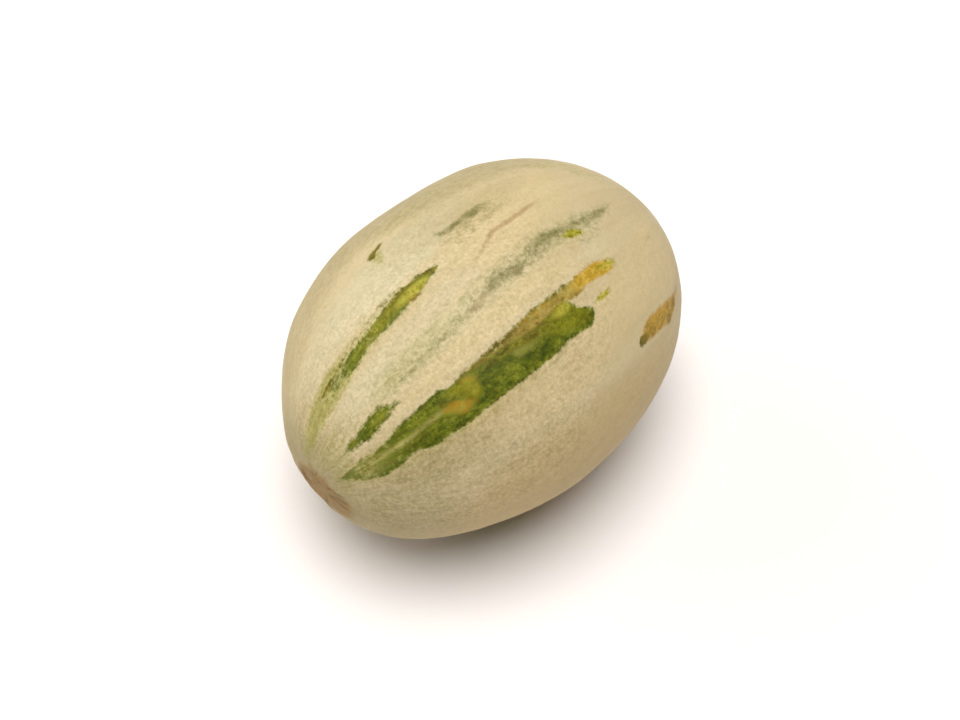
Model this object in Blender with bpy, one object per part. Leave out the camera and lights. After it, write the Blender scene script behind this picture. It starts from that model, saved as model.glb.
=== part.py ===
"""A muskmelon lying on its side: one grown solid, in metres, with +Z up.

The fruit's long axis lies along X. The blossom end, with its broad corky scar, is at -X, and the stem end, with the
round scar where the stalk came away, is at +X. It rests on a small flat ground spot, and the origin is the middle of
the bottom of its box.

A place on the skin is given by two numbers: its station, from 0 at the blossom end to pi at the stem end, and its
turn about the long axis, from 0 at +Y through a quarter turn at the top.
"""

import math

import bmesh
import bpy
from mathutils import Matrix, Vector

MM = 0.001

# Driving dimensions
LENGTH = 158 * MM
WIDTH = 120 * MM
FULLNESS = 2.07  # 2 is an ellipse, and more is blunter

# The flesh: fuller towards the stem end, three low lobes for its three seed chambers, and faint vein tracts
STEM_END_FULLER = 0.3 * MM
LOBES = 3
LOBE_HEIGHT = 0.35 * MM
VEIN_TRACTS = 10
VEIN_TRACT_DEPTH = 0.2 * MM

# How far both ends bow away from the middle, along Y and Z
BOW_Y = -0.55 * MM
BOW_Z = -0.4 * MM

# Places where the growing fruit was pressed flatter, or swelled where the depth is below zero:
# depth, reach, share of the way from the middle to the stem end, and turn in degrees
PRESSED = (
    (1.4 * MM, 32 * MM, 0.08, 34),
    (1.4 * MM, 29 * MM, -0.86, 12),
    (1.45 * MM, 38 * MM, -0.50, 204),
    (-0.5 * MM, 26 * MM, 0.97, 135),
)

# Blossom end: a broad corky scar, almost flat, with a low ring and a button on it, and puckers that run out from it
SCAR_REACH = 19 * MM
SCAR_DEPTH = 1.5 * MM
SCAR_RING_RADIUS = 8.2 * MM
SCAR_RING_WIDTH = 2.4 * MM
SCAR_RING_HEIGHT = 0.5 * MM
BUTTON_RADIUS = 3.4 * MM
BUTTON_HEIGHT = 0.7 * MM
PUCKERS = 10
PUCKER_RADIUS = 15 * MM
PUCKER_REACH = 8 * MM
PUCKER_DEPTH = 0.35 * MM

# Stem end: a deeper dish, and the round pit where the stalk came away, with a collar round it
DISH_RADIUS = 22 * MM
DISH_DEPTH = 3.6 * MM
COLLAR_RADIUS = 7.0 * MM
COLLAR_WIDTH = 1.8 * MM
COLLAR_HEIGHT = 1.0 * MM
PIT_RADIUS = 5.2 * MM
PIT_DEPTH = 1.6 * MM

# Ground spot: how far the underside is flattened, and how softly the flat runs out into the skin
FLATTENED_BY = 1.8 * MM
FLAT_RUN_OUT = 0.35 * MM

# The mesh: steps around, steps from end to end, and closer rings over each scar
AROUND = 80
ALONG = 44
SCAR_RINGS = tuple(radius * MM for radius in (1.7, 3.1, 4.3, 5.6, 6.9, 8.2, 9.6, 11.3, 13.4))
MERGE_DISTANCE = 0.001

SKIN_COLOUR = (0.74, 0.64, 0.41, 1.0)
SKIN_ROUGHNESS = 0.55


def clear_scene():
    """Removes whatever the file opened with."""
    for thing in list(bpy.data.objects):
        bpy.data.objects.remove(thing, do_unlink=True)


def bump(distance, reach):
    """1 at no distance, falling smoothly to 0 at the reach and beyond."""
    share = min(1.0, abs(distance) / reach)
    return (1 - share * share) ** 2


def soft_floor(height, run_out):
    """The height above the ground plane, flattened to exactly 0 below it, with a rounded run-out."""
    if height >= run_out:
        return height
    if height <= -run_out:
        return 0.0
    return (height + run_out) ** 2 / (4 * run_out)


def rounded_power(value):
    """A cosine or sine bent into the blunter curve of a superellipse, sign kept."""
    return math.copysign(abs(value) ** (2 / FULLNESS), value)


def blossom_end_inset(radius, turn):
    """How far the skin is drawn in, along the axis, at this radius from the blossom end's middle."""
    saucer = SCAR_DEPTH * bump(radius, SCAR_REACH)
    ring = SCAR_RING_HEIGHT * bump(radius - SCAR_RING_RADIUS, SCAR_RING_WIDTH)
    button = BUTTON_HEIGHT * bump(radius, BUTTON_RADIUS)
    pucker = PUCKER_DEPTH * bump(radius - PUCKER_RADIUS, PUCKER_REACH) * (0.5 - 0.5 * math.cos(PUCKERS * turn))
    return saucer - ring - button + pucker


def stem_end_inset(radius):
    """How far the skin is drawn in, along the axis, at this radius from the stem end's middle."""
    dish = DISH_DEPTH * bump(radius, DISH_RADIUS)
    collar = COLLAR_HEIGHT * bump(radius - COLLAR_RADIUS, COLLAR_WIDTH)
    pit = PIT_DEPTH * bump(radius, PIT_RADIUS)
    return dish - collar + pit


def pressed_depth(place):
    """How far the skin lies under the plain egg shape at this place of it."""
    depth = 0.0
    for deepest, reach, share_along, turn_degrees in PRESSED:
        turn = math.radians(turn_degrees)
        radius = WIDTH / 2 * math.sqrt(1 - share_along**2)
        middle = Vector((LENGTH / 2 * share_along, radius * math.cos(turn), radius * math.sin(turn)))
        depth += deepest * bump((place - middle).length, reach)
    return depth


def skin_point(station, turn):
    """The place of a point of the skin, with the long axis on X and the ground not yet met."""
    share_along = -rounded_power(math.cos(station))
    x = LENGTH / 2 * share_along
    radius = WIDTH / 2 * rounded_power(math.sin(station))
    plain = Vector((x, radius * math.cos(turn), radius * math.sin(turn)))
    outward = Vector((x / LENGTH**2, plain.y / WIDTH**2, plain.z / WIDTH**2)).normalized()

    belly = math.sin(station) ** 2
    radius += belly * (STEM_END_FULLER * share_along + LOBE_HEIGHT * math.sin(LOBES * turn))
    radius -= belly * VEIN_TRACT_DEPTH * (0.5 - 0.5 * math.cos(VEIN_TRACTS * turn))
    if share_along < 0:
        x += blossom_end_inset(radius, turn)
    else:
        x -= stem_end_inset(radius)

    bow = share_along**2 - 1 / 3
    grown = Vector((x, radius * math.cos(turn) + BOW_Y * bow, radius * math.sin(turn) + BOW_Z * bow))
    return grown - outward * pressed_depth(plain)


def ring_stations():
    """The stations of the rings: even along the fruit, and closer together over both scars."""
    scar = [math.asin(radius / (WIDTH / 2)) for radius in SCAR_RINGS]
    even = [math.pi * step / ALONG for step in range(1, ALONG)]
    clear = scar[-1] + 0.6 * math.pi / ALONG
    body = [station for station in even if clear < station < math.pi - clear]
    return [0.0, *scar, *body, *(math.pi - station for station in reversed(scar)), math.pi]


def turned_ball(mesh):
    """A ball of radius 1 turned about X, with its rings at the wanted stations."""
    profile = [mesh.verts.new((-math.cos(station), math.sin(station), 0)) for station in ring_stations()]
    edges = [mesh.edges.new(pair) for pair in zip(profile, profile[1:])]
    bmesh.ops.spin(
        mesh,
        geom=profile + edges,
        axis=(1, 0, 0),
        cent=(0, 0, 0),
        angle=2 * math.pi,
        steps=AROUND,
        use_merge=True,
    )
    bmesh.ops.remove_doubles(mesh, verts=mesh.verts, dist=MERGE_DISTANCE)


def box_of(mesh):
    """The lowest and highest corner of a mesh."""
    places = [vertex.co for vertex in mesh.verts]
    low = Vector([min(place[axis] for place in places) for axis in range(3)])
    high = Vector([max(place[axis] for place in places) for axis in range(3)])
    return low, high


def set_to_size(mesh):
    """Brings the skin to its exact length and width, centred on the origin."""
    low, high = box_of(mesh)
    grow = Vector((LENGTH / (high.x - low.x), WIDTH / (high.y - low.y), WIDTH / (high.z - low.z)))
    bmesh.ops.translate(mesh, verts=mesh.verts, vec=-(low + high) / 2)
    bmesh.ops.scale(mesh, verts=mesh.verts, vec=grow)


def set_on_ground(mesh):
    """Flattens the ground spot and stands the fruit on the plane Z = 0."""
    low, _ = box_of(mesh)
    ground = low.z + FLATTENED_BY
    for vertex in mesh.verts:
        vertex.co.z = soft_floor(vertex.co.z - ground, FLAT_RUN_OUT)


def skin_material():
    """The pale buff skin."""
    material = bpy.data.materials.new("melon_skin")
    material.use_nodes = True
    shader = material.node_tree.nodes["Principled BSDF"]
    shader.inputs["Base Color"].default_value = SKIN_COLOUR
    shader.inputs["Roughness"].default_value = SKIN_ROUGHNESS
    shader.inputs["Metallic"].default_value = 0.0
    return material


def build_muskmelon():
    """Makes the fruit as one closed solid."""
    mesh = bmesh.new()
    turned_ball(mesh)
    for vertex in mesh.verts:
        station = math.acos(max(-1.0, min(1.0, -vertex.co.x)))
        vertex.co = skin_point(station, math.atan2(vertex.co.z, vertex.co.y))
    set_to_size(mesh)
    set_on_ground(mesh)
    bmesh.ops.recalc_face_normals(mesh, faces=mesh.faces)
    data = bpy.data.meshes.new("muskmelon")
    mesh.to_mesh(data)
    mesh.free()
    data.shade_smooth()
    data.materials.append(skin_material())
    fruit = bpy.data.objects.new("muskmelon", data)
    fruit.matrix_world = Matrix.Identity(4)
    bpy.context.scene.collection.objects.link(fruit)
    return fruit


clear_scene()
build_muskmelon()
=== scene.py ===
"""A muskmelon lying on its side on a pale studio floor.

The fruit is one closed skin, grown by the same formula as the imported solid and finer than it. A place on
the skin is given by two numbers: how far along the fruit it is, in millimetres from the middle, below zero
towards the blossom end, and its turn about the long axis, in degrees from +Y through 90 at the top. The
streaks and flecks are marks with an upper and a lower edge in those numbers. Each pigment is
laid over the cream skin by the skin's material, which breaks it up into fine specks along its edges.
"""

import logging
import math
from dataclasses import dataclass, field
from enum import Enum

import bpy
import numpy as np
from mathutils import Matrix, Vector


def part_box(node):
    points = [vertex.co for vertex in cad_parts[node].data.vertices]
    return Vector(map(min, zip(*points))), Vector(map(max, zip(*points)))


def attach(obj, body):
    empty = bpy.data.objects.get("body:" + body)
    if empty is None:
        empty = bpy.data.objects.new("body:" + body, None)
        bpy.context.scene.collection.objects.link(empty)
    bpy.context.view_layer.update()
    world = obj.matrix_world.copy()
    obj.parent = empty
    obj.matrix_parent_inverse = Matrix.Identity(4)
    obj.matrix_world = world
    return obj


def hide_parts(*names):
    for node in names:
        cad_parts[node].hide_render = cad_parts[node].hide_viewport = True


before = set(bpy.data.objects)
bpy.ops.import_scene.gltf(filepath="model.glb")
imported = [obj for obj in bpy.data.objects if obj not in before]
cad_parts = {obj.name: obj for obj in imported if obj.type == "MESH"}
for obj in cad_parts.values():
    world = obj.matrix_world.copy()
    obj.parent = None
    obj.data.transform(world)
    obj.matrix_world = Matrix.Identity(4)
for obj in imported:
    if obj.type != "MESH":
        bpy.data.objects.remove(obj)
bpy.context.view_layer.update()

LOG = logging.getLogger("muskmelon")

MM = 0.001
NODE = "muskmelon"

Floats = np.ndarray  # one number for each point of the skin
Places = np.ndarray  # x, y and z for each point of the skin
Colour = tuple[float, float, float]  # linear red, green and blue
Span = tuple[float, float]  # a low and a high value
Edge = tuple[tuple[float, float], ...]  # pairs of a place and a height, such as millimetres along and degrees
Socket = bpy.types.NodeSocket  # where a node takes a value in or gives it out


def bump(distance: Floats, reach: float) -> Floats:
    """1 at no distance, falling smoothly to 0 at the reach and beyond."""
    share = np.minimum(1.0, np.abs(distance) / reach)
    return (1 - share * share) ** 2


def smooth_step(value: Floats) -> Floats:
    """0 below 0 and 1 above 1, with a smooth way up between them."""
    share = np.clip(value, 0.0, 1.0)
    return share * share * (3 - 2 * share)


def smooth_line(points: Edge, at: Floats) -> Floats:
    """A smooth line through a few points, level beyond both ends.

    Args:
        points: pairs of place and height, in order of place.
        at: the places where the height is wanted.

    Returns:
        The height at each place, on a cubic curve whose slope at each point follows its neighbours.
    """
    place, height = np.array(points, float).T
    slope = np.gradient(height, place)
    inside = np.clip(at, place[0], place[-1])
    step = np.clip(np.searchsorted(place, inside, side="right") - 1, 0, len(place) - 2)
    width = place[step + 1] - place[step]
    share = (inside - place[step]) / width
    rise, low_part = share**2 * (3 - 2 * share), share * (1 - share) ** 2
    high_part = -(share**2) * (1 - share)
    level = height[step] * (1 - rise) + height[step + 1] * rise
    return level + width * (slope[step] * low_part + slope[step + 1] * high_part)


def way_to(azimuth: float, elevation: float) -> Vector:
    """The direction from the fruit to something round it.

    Args:
        azimuth: degrees from -Y towards +X.
        elevation: degrees above the floor.

    Returns:
        The direction, one unit long.
    """
    around, up = math.radians(azimuth), math.radians(elevation)
    return Vector((math.sin(around) * math.cos(up), -math.cos(around) * math.cos(up), math.sin(up)))


def set_out(name: str, data: bpy.types.ID) -> bpy.types.Object:
    """Puts a mesh, a lamp or a camera in the scene.

    Args:
        name: the new object's name.
        data: what it is made of.

    Returns:
        The object.
    """
    thing = bpy.data.objects.new(name, data)
    bpy.context.scene.collection.objects.link(thing)
    return thing


@dataclass(frozen=True)
class Ripple:
    """Soft irregular waves of about one length, the sum of plane waves that run every way."""

    wavelength: float
    seed: int
    waves: int = 28
    shortest: float = 0.75  # times the wavelength
    longest: float = 1.35

    def at(self, places: Places) -> Floats:
        """Works out the height of the waves.

        Args:
            places: the places where it is wanted, in metres.

        Returns:
            The height at each place, mostly between -1 and 1.
        """
        draw = np.random.default_rng(self.seed)
        way = draw.normal(size=(self.waves, 3))
        way /= np.linalg.norm(way, axis=1, keepdims=True)
        length = self.wavelength * draw.uniform(self.shortest, self.longest, self.waves)
        phase = draw.uniform(0, 2 * math.pi, self.waves)
        total = np.zeros(len(places))
        for wave in range(self.waves):
            total += np.cos(places @ way[wave] * (2 * math.pi / length[wave]) + phase[wave])
        return total / math.sqrt(2 * self.waves)


@dataclass(frozen=True)
class PressedPlace:
    """A place where the growing fruit was pressed flatter, or swelled where the depth is below zero."""

    depth: float
    reach: float
    share_along: float  # from -1 at the blossom end to 1 at the stem end
    turn: float  # degrees


@dataclass(frozen=True)
class BlossomEnd:
    """The broad corky scar where the flower sat, almost flat, with a low ring and a button on it."""

    reach: float = 19 * MM
    depth: float = 1.5 * MM
    ring_radius: float = 8.2 * MM
    ring_width: float = 2.4 * MM
    ring_height: float = 0.5 * MM
    button_radius: float = 3.4 * MM
    button_height: float = 0.7 * MM
    puckers: int = 10
    pucker_radius: float = 15 * MM
    pucker_reach: float = 8 * MM
    pucker_depth: float = 0.35 * MM
    cork_outline: Edge = (  # degrees of turn and millimetres from the end's middle
        (-180, 18.2), (-165, 17.8), (-145, 16), (-115, 13.5), (-85, 12), (-50, 10.4), (-15, 9.3), (20, 8.9),
        (45, 9.2), (85, 10.2), (104, 11.2), (125, 12.2), (138, 13.2), (146, 15.4), (158, 17), (170, 18.4),
        (180, 18.2))
    cork_edge: float = 7 * MM
    cracks: tuple[Edge, ...] = (  # each as pairs of degrees of turn and millimetres from the end's middle
        ((60, 7.6), (80, 6.6), (100, 4.6), (130, 4.8), (154, 6.6), (165, 9), (171, 12), (176, 15)),
        ((140, 10.4), (147, 13.2), (152, 16)), ((95, 7.4), (100, 10)), ((161, 12.4), (163, 15.8)),
        ((200, 6.0), (222, 8.8), (246, 9.2)), ((-60, 4.4), (-36, 6.6), (-8, 6.6)))
    crack_width: float = 1.7 * MM
    fold_depth: float = 0.12 * MM

    def inset(self, radius: Floats, turn: Floats) -> Floats:
        """Works out how far the skin is drawn in along the axis.

        Args:
            radius: metres from the end's middle.
            turn: the turn in radians.

        Returns:
            Metres in towards the fruit's middle, less where the ring and the button rise.
        """
        saucer = self.depth * bump(radius, self.reach)
        ring = self.ring_height * bump(radius - self.ring_radius, self.ring_width)
        button = self.button_height * bump(radius, self.button_radius)
        gathers = 0.5 - 0.5 * np.cos(self.puckers * turn)
        puckers = self.pucker_depth * bump(radius - self.pucker_radius, self.pucker_reach) * gathers
        return saucer - ring - button + puckers

    def cork_share(self, radius: Floats, turn: Floats) -> Floats:
        """1 on the corky scar and 0 off it, with an uneven edge."""
        outline = smooth_line(self.cork_outline, (np.degrees(turn) + 180) % 360 - 180) * MM
        return smooth_step((outline - radius) / self.cork_edge + 0.5)

    def folds(self, radius: Floats, turn: Floats) -> Floats:
        """Works out how deep the cork is cracked.

        Args:
            radius: metres from the end's middle.
            turn: the turn in radians.

        Returns:
            1 along the middle of each crack, falling to 0 at its width.
        """
        place = np.stack([radius * np.cos(turn), radius * np.sin(turn)], axis=-1)
        nearest = np.full(len(radius), np.inf)
        for crack in self.cracks:
            way, out = np.radians([step[0] for step in crack]), np.array([step[1] for step in crack]) * MM
            knots = np.stack([out * np.cos(way), out * np.sin(way)], axis=-1)
            for start, end in zip(knots, knots[1:]):
                run = end - start
                share = np.clip((place - start) @ run / (run @ run), 0, 1)
                nearest = np.minimum(nearest, np.linalg.norm(place - start - share[:, None] * run, axis=-1))
        return bump(nearest, self.crack_width)


@dataclass(frozen=True)
class StemEnd:
    """The dish at the other end, and the pit where the stalk came away, with a corky collar round it."""

    dish_radius: float = 22 * MM
    dish_depth: float = 3.6 * MM
    collar_radius: float = 7.0 * MM
    collar_width: float = 1.8 * MM
    collar_height: float = 1.0 * MM
    pit_radius: float = 5.2 * MM
    pit_depth: float = 1.6 * MM
    cork_radius: float = 9.3 * MM
    cork_edge: float = 1.6 * MM
    wavers: tuple[tuple[float, int, float], ...] = ((0.5, 3, 2.0), (0.4, 8, 0.0))  # millimetres, waves, start
    crack_count: int = 13
    crack_depth: float = 0.3 * MM
    crack_share: float = 0.3  # how wide each crack is, where 1 is half the way to the next
    crack_reach: float = 2.6 * MM
    crack_bend: float = 0.8
    crack_bend_length: float = 1.4 * MM

    def inset(self, radius: Floats) -> Floats:
        """Works out how far the skin is drawn in along the axis.

        Args:
            radius: metres from the end's middle.

        Returns:
            Metres in towards the fruit's middle, less where the collar rises.
        """
        dish = self.dish_depth * bump(radius, self.dish_radius)
        collar = self.collar_height * bump(radius - self.collar_radius, self.collar_width)
        return dish - collar + self.pit_depth * bump(radius, self.pit_radius)

    def cork_share(self, radius: Floats, turn: Floats) -> Floats:
        """1 on the corky collar and in the pit, and 0 off them."""
        waver = sum(height * np.sin(waves * turn + start) for height, waves, start in self.wavers)
        return smooth_step((self.cork_radius + waver * MM - radius) / self.cork_edge + 0.5)

    def folds(self, radius: Floats, turn: Floats) -> Floats:
        """Works out how deep the collar is cracked across.

        Args:
            radius: metres from the end's middle.
            turn: the turn in radians.

        Returns:
            1 along the middle of each crack, falling to 0 at its sides and beyond the collar.
        """
        bend = self.crack_bend * np.sin(radius / self.crack_bend_length)
        spokes = np.abs(np.sin(0.5 * self.crack_count * turn + bend))
        cracks = 1 - smooth_step(spokes / self.crack_share)
        return cracks * bump(radius - self.collar_radius, self.crack_reach)


@dataclass(frozen=True)
class FruitForm:
    """The grown shape of the whole fruit, in metres, by station and turn.

    The station runs from 0 at the blossom end to pi at the stem end. The turn is in radians.
    """

    length: float = 158 * MM
    width: float = 120 * MM
    fullness: float = 2.07  # 2 is an ellipse, and more is squarer
    stem_end_fuller: float = 0.3 * MM
    lobes: int = 3
    lobe_height: float = 0.35 * MM
    vein_tracts: int = 10
    vein_tract_depth: float = 0.2 * MM
    bow_y: float = -0.55 * MM
    bow_z: float = -0.4 * MM
    pressed: tuple[PressedPlace, ...] = (
        PressedPlace(depth=1.4 * MM, reach=32 * MM, share_along=0.08, turn=34),
        PressedPlace(depth=1.4 * MM, reach=29 * MM, share_along=-0.86, turn=12),
        PressedPlace(depth=1.45 * MM, reach=38 * MM, share_along=-0.50, turn=204),
        PressedPlace(depth=-0.5 * MM, reach=26 * MM, share_along=0.97, turn=135),
    )
    flattened_by: float = 1.8 * MM
    flat_run_out: float = 0.35 * MM
    blossom_end: BlossomEnd = BlossomEnd()
    stem_end: StemEnd = StemEnd()

    def rounded_power(self, value: Floats) -> Floats:
        """A cosine or sine bent into the blunter curve of a superellipse, sign kept."""
        return np.copysign(np.abs(value) ** (2 / self.fullness), value)

    def share_along(self, station: Floats) -> Floats:
        """How far along the fruit a station is, from -1 at the blossom end to 1 at the stem end."""
        return -self.rounded_power(np.cos(station))

    def plain_radius(self, station: Floats) -> Floats:
        """How far from the axis the skin is at this station, before lobes and dents."""
        return self.width / 2 * self.rounded_power(np.abs(np.sin(station)))

    def plain(self, station: Floats, turn: Floats) -> Places:
        """Places each point on the plain egg shape, before lobes and dents.

        Args:
            station: the station of each point.
            turn: the turn of each point.

        Returns:
            The places, with the long axis on X.
        """
        radius = self.plain_radius(station)
        x = self.length / 2 * self.share_along(station)
        return np.stack([x, radius * np.cos(turn), radius * np.sin(turn)], axis=-1)

    def outward(self, plain: Places) -> Places:
        """The direction out of the plain egg shape at each of its places."""
        way = plain / np.array([self.length, self.width, self.width]) ** 2
        return way / np.linalg.norm(way, axis=-1, keepdims=True)

    def pressed_depth(self, plain: Places) -> Floats:
        """Works out how far the skin is pressed in.

        Args:
            plain: places on the plain egg shape.

        Returns:
            How far the skin lies under each of them, below zero where it swells.
        """
        depth = np.zeros(len(plain))
        for place in self.pressed:
            turn = math.radians(place.turn)
            radius = self.width / 2 * math.sqrt(1 - place.share_along**2)
            along = self.length / 2 * place.share_along
            middle = np.array([along, radius * math.cos(turn), radius * math.sin(turn)])
            depth += place.depth * bump(np.linalg.norm(plain - middle, axis=-1), place.reach)
        return depth

    def grown(self, station: Floats, turn: Floats) -> Places:
        """Grows the skin, before it is brought to size and meets the ground.

        Args:
            station: the station of each point.
            turn: the turn of each point.

        Returns:
            The places, with the long axis on X.
        """
        plain = self.plain(station, turn)
        share, x = self.share_along(station), plain[:, 0].copy()
        belly = np.sin(station) ** 2
        radius = self.plain_radius(station)
        lobes = self.lobe_height * np.sin(self.lobes * turn)
        radius = radius + belly * (self.stem_end_fuller * share + lobes)
        radius = radius - belly * self.vein_tract_depth * (0.5 - 0.5 * np.cos(self.vein_tracts * turn))
        x += np.where(share < 0, self.blossom_end.inset(radius, turn), -self.stem_end.inset(radius))
        bow = share**2 - 1 / 3  # nothing on the whole, so that the bow doesn't move the fruit
        y = radius * np.cos(turn) + self.bow_y * bow
        z = radius * np.sin(turn) + self.bow_z * bow
        grown = np.stack([x, y, z], axis=-1)
        return grown - self.outward(plain) * self.pressed_depth(plain)[:, None]

    def soft_floor(self, height: Floats) -> Floats:
        """Lays whatever is under the ground plane flat on it, with a rounded run-out.

        Args:
            height: metres above the plane.

        Returns:
            The new height, never below zero.
        """
        run_out = self.flat_run_out
        rounded = (height + run_out) ** 2 / (4 * run_out)
        return np.where(height >= run_out, height, np.where(height <= -run_out, 0.0, rounded))

    def set_in_box(self, skin: Places, low: Vector, high: Vector) -> Places:
        """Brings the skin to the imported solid's box and stands it on its ground spot.

        Args:
            skin: the grown skin.
            low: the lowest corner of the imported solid's box.
            high: the highest corner of it.

        Returns:
            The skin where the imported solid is, with its underside flattened to the floor of the box.
        """
        size = np.array(high - low) + (0, 0, self.flattened_by)
        middle = np.array(low + high) / 2 - (0, 0, self.flattened_by / 2)
        own_low, own_high = skin.min(axis=0), skin.max(axis=0)
        placed = (skin - (own_low + own_high) / 2) * (size / (own_high - own_low)) + middle
        placed[:, 2] = low.z + self.soft_floor(placed[:, 2] - low.z)
        return placed


@dataclass(frozen=True)
class SkinRelief:
    """The low relief of the skin: dimples, lengthwise furrows, pleats by the blossom end, and cork."""

    dimples: Ripple = Ripple(13 * MM, seed=3)
    dimple_depth: float = 0.055 * MM
    pimples: Ripple = Ripple(4.2 * MM, seed=8)
    pimple_height: float = 0.018 * MM
    furrows: Ripple = Ripple(8.5 * MM, seed=21)
    furrow_depth: float = 0.06 * MM
    furrow_stretch: float = 0.1
    pleats: Ripple = Ripple(13 * MM, seed=34)
    pleat_depth: float = 0.16 * MM
    pleat_radius: float = 17 * MM
    pleat_reach: float = 13 * MM
    cork_grain: Ripple = Ripple(1.7 * MM, seed=55)
    cork_grain_height: float = 0.05 * MM

    def depth(self, form: FruitForm, plain: Places, lengthwise: Places, station: Floats,
              turn: Floats) -> Floats:
        """Works out how far each point of the skin lies below the grown form.

        Args:
            form: the fruit's form, for its two ends.
            plain: the places on the plain egg shape.
            lengthwise: the same places with every ring of the fruit drawn out to full width.
            station: the station of each point.
            turn: the turn of each point, in radians.

        Returns:
            The depth in metres.
        """
        radius = form.plain_radius(station)
        share = form.share_along(station)
        belly = np.sin(station) ** 2
        drawn_out = lengthwise * np.array([self.furrow_stretch, 1, 1])
        depth = self.dimple_depth * self.dimples.at(plain) - self.pimple_height * self.pimples.at(plain)
        depth += belly * self.furrow_depth * self.furrows.at(drawn_out)
        by_blossom_end = np.where(share < 0, bump(radius - self.pleat_radius, self.pleat_reach), 0.0)
        depth += self.pleat_depth * by_blossom_end * self.pleats.at(drawn_out)
        grain = self.cork_grain_height * self.cork_grain.at(plain)
        blossom, stem = form.blossom_end, form.stem_end
        blossom_cork = np.where(share < 0, blossom.cork_share(radius, turn), 0.0)
        stem_cork = np.where(share > 0, stem.cork_share(radius, turn), 0.0)
        depth += blossom_cork * (grain + blossom.fold_depth * blossom.folds(radius, turn))
        depth += stem_cork * (grain + stem.crack_depth * stem.folds(radius, turn))
        return depth


@dataclass
class SkinLattice:
    """A box of even cells blown up into a ball, so that no cells are pinched together at the ends.

    Cells are finer over both ends, where the scars are, than along the sides.
    """

    cells_along: int = 150
    cells_across: int = 118
    gather: float = 0.25
    island_margin: float = 0.006
    stations: Floats = field(init=False)
    turns: Floats = field(init=False)
    quads: np.ndarray = field(init=False)
    bake_places: np.ndarray = field(init=False)

    def __post_init__(self) -> None:
        """Works out the points, the cells between them and where each cell lies on the flat bake sheet."""
        cells = (self.cells_along, self.cells_across, self.cells_across)
        keys, quads, sheet = [], [], []
        for axis in range(3):
            for side in (0, cells[axis]):
                grid, flat = self._face(cells, axis, side)
                flipped = (side == 0) != (axis == 1)  # so that every cell faces out
                keys.append(grid.ravel())
                quads.append(self._cells(grid, flipped))
                sheet.append(self._cells(flat, flipped))
        used = np.unique(np.concatenate(keys))
        self.quads = np.searchsorted(used, np.concatenate(quads))
        self.bake_places = np.concatenate(sheet)
        across = self.cells_across + 1
        corners = np.stack([used // across**2, used // across % across, used % across], axis=-1)
        way = np.tan((2 * corners / np.array(cells) - 1) * math.pi / 4)
        station = np.arctan2(np.hypot(way[:, 1], way[:, 2]), -way[:, 0])
        self.stations = station - self.gather * np.sin(2 * station)
        self.turns = np.arctan2(way[:, 2], way[:, 1])

    def _face(self, cells: tuple[int, int, int], axis: int, side: int) -> tuple[np.ndarray, np.ndarray]:
        """Lays out the points of one face of the box.

        Args:
            cells: the number of cells along each side of the box.
            axis: the axis that the face lies across.
            side: the step along that axis where it lies.

        Returns:
            A whole number for each point, the same for the points that two faces share, and each point's
            place on the flat bake sheet.
        """
        first, second = (other for other in range(3) if other != axis)
        steps = np.meshgrid(np.arange(cells[first] + 1), np.arange(cells[second] + 1), indexing="ij")
        corner = np.empty((*steps[0].shape, 3), int)
        corner[..., axis], corner[..., first], corner[..., second] = side, *steps
        across = self.cells_across + 1
        keys = (corner[..., 0] * across + corner[..., 1]) * across + corner[..., 2]
        room = np.array([1 / 3, 1 / 2])
        start = room * (axis, side > 0) + self.island_margin
        share = np.stack([steps[0] / cells[first], steps[1] / cells[second]], axis=-1)
        return keys, start + share * (room - 2 * self.island_margin)

    def _cells(self, grid: np.ndarray, flipped: bool) -> np.ndarray:
        """Lists the four corners of each cell of a grid.

        Args:
            grid: a value for each point of the grid.
            flipped: whether the corners run the other way round.

        Returns:
            Four values for each cell, in order round it.
        """
        corners = [grid[:-1, :-1], grid[1:, :-1], grid[1:, 1:], grid[:-1, 1:]]
        if flipped:
            corners.reverse()
        stacked = np.stack(corners, axis=2)
        return stacked.reshape(-1, 4, *grid.shape[2:])


class Pigment(Enum):
    """The colours that mark the cream skin, by the name of the field that says where each one lies."""

    PALE = "pale_wash"
    PEACH = "peach_wash"
    # The tan and dun washes are partly the skin's own tone and partly painted shade on the underside, the
    # upper edge and the blossom end.
    TAN = "tan_wash_and_painted_shade"
    DUN_AND_SHADE = "dun_wash_and_painted_shade"
    HAZE = "yellow_green_haze"
    FRINGE = "green_fringe"
    GREY_OLIVE = "grey_olive"
    CREASE = "healed_crease"
    AMBER = "amber_wash"
    LEAF_GREEN = "leaf_green"
    DEEP_GREEN = "deep_green"
    MOSS = "moss"
    OLIVE = "olive"
    SPLIT = "cream_split"
    BUFF = "buff"
    OCHRE = "ochre"
    LIME = "lime"
    RIM = "dark_rim"
    BROWN = "brown"
    STIPPLE = "stipple"


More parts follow.
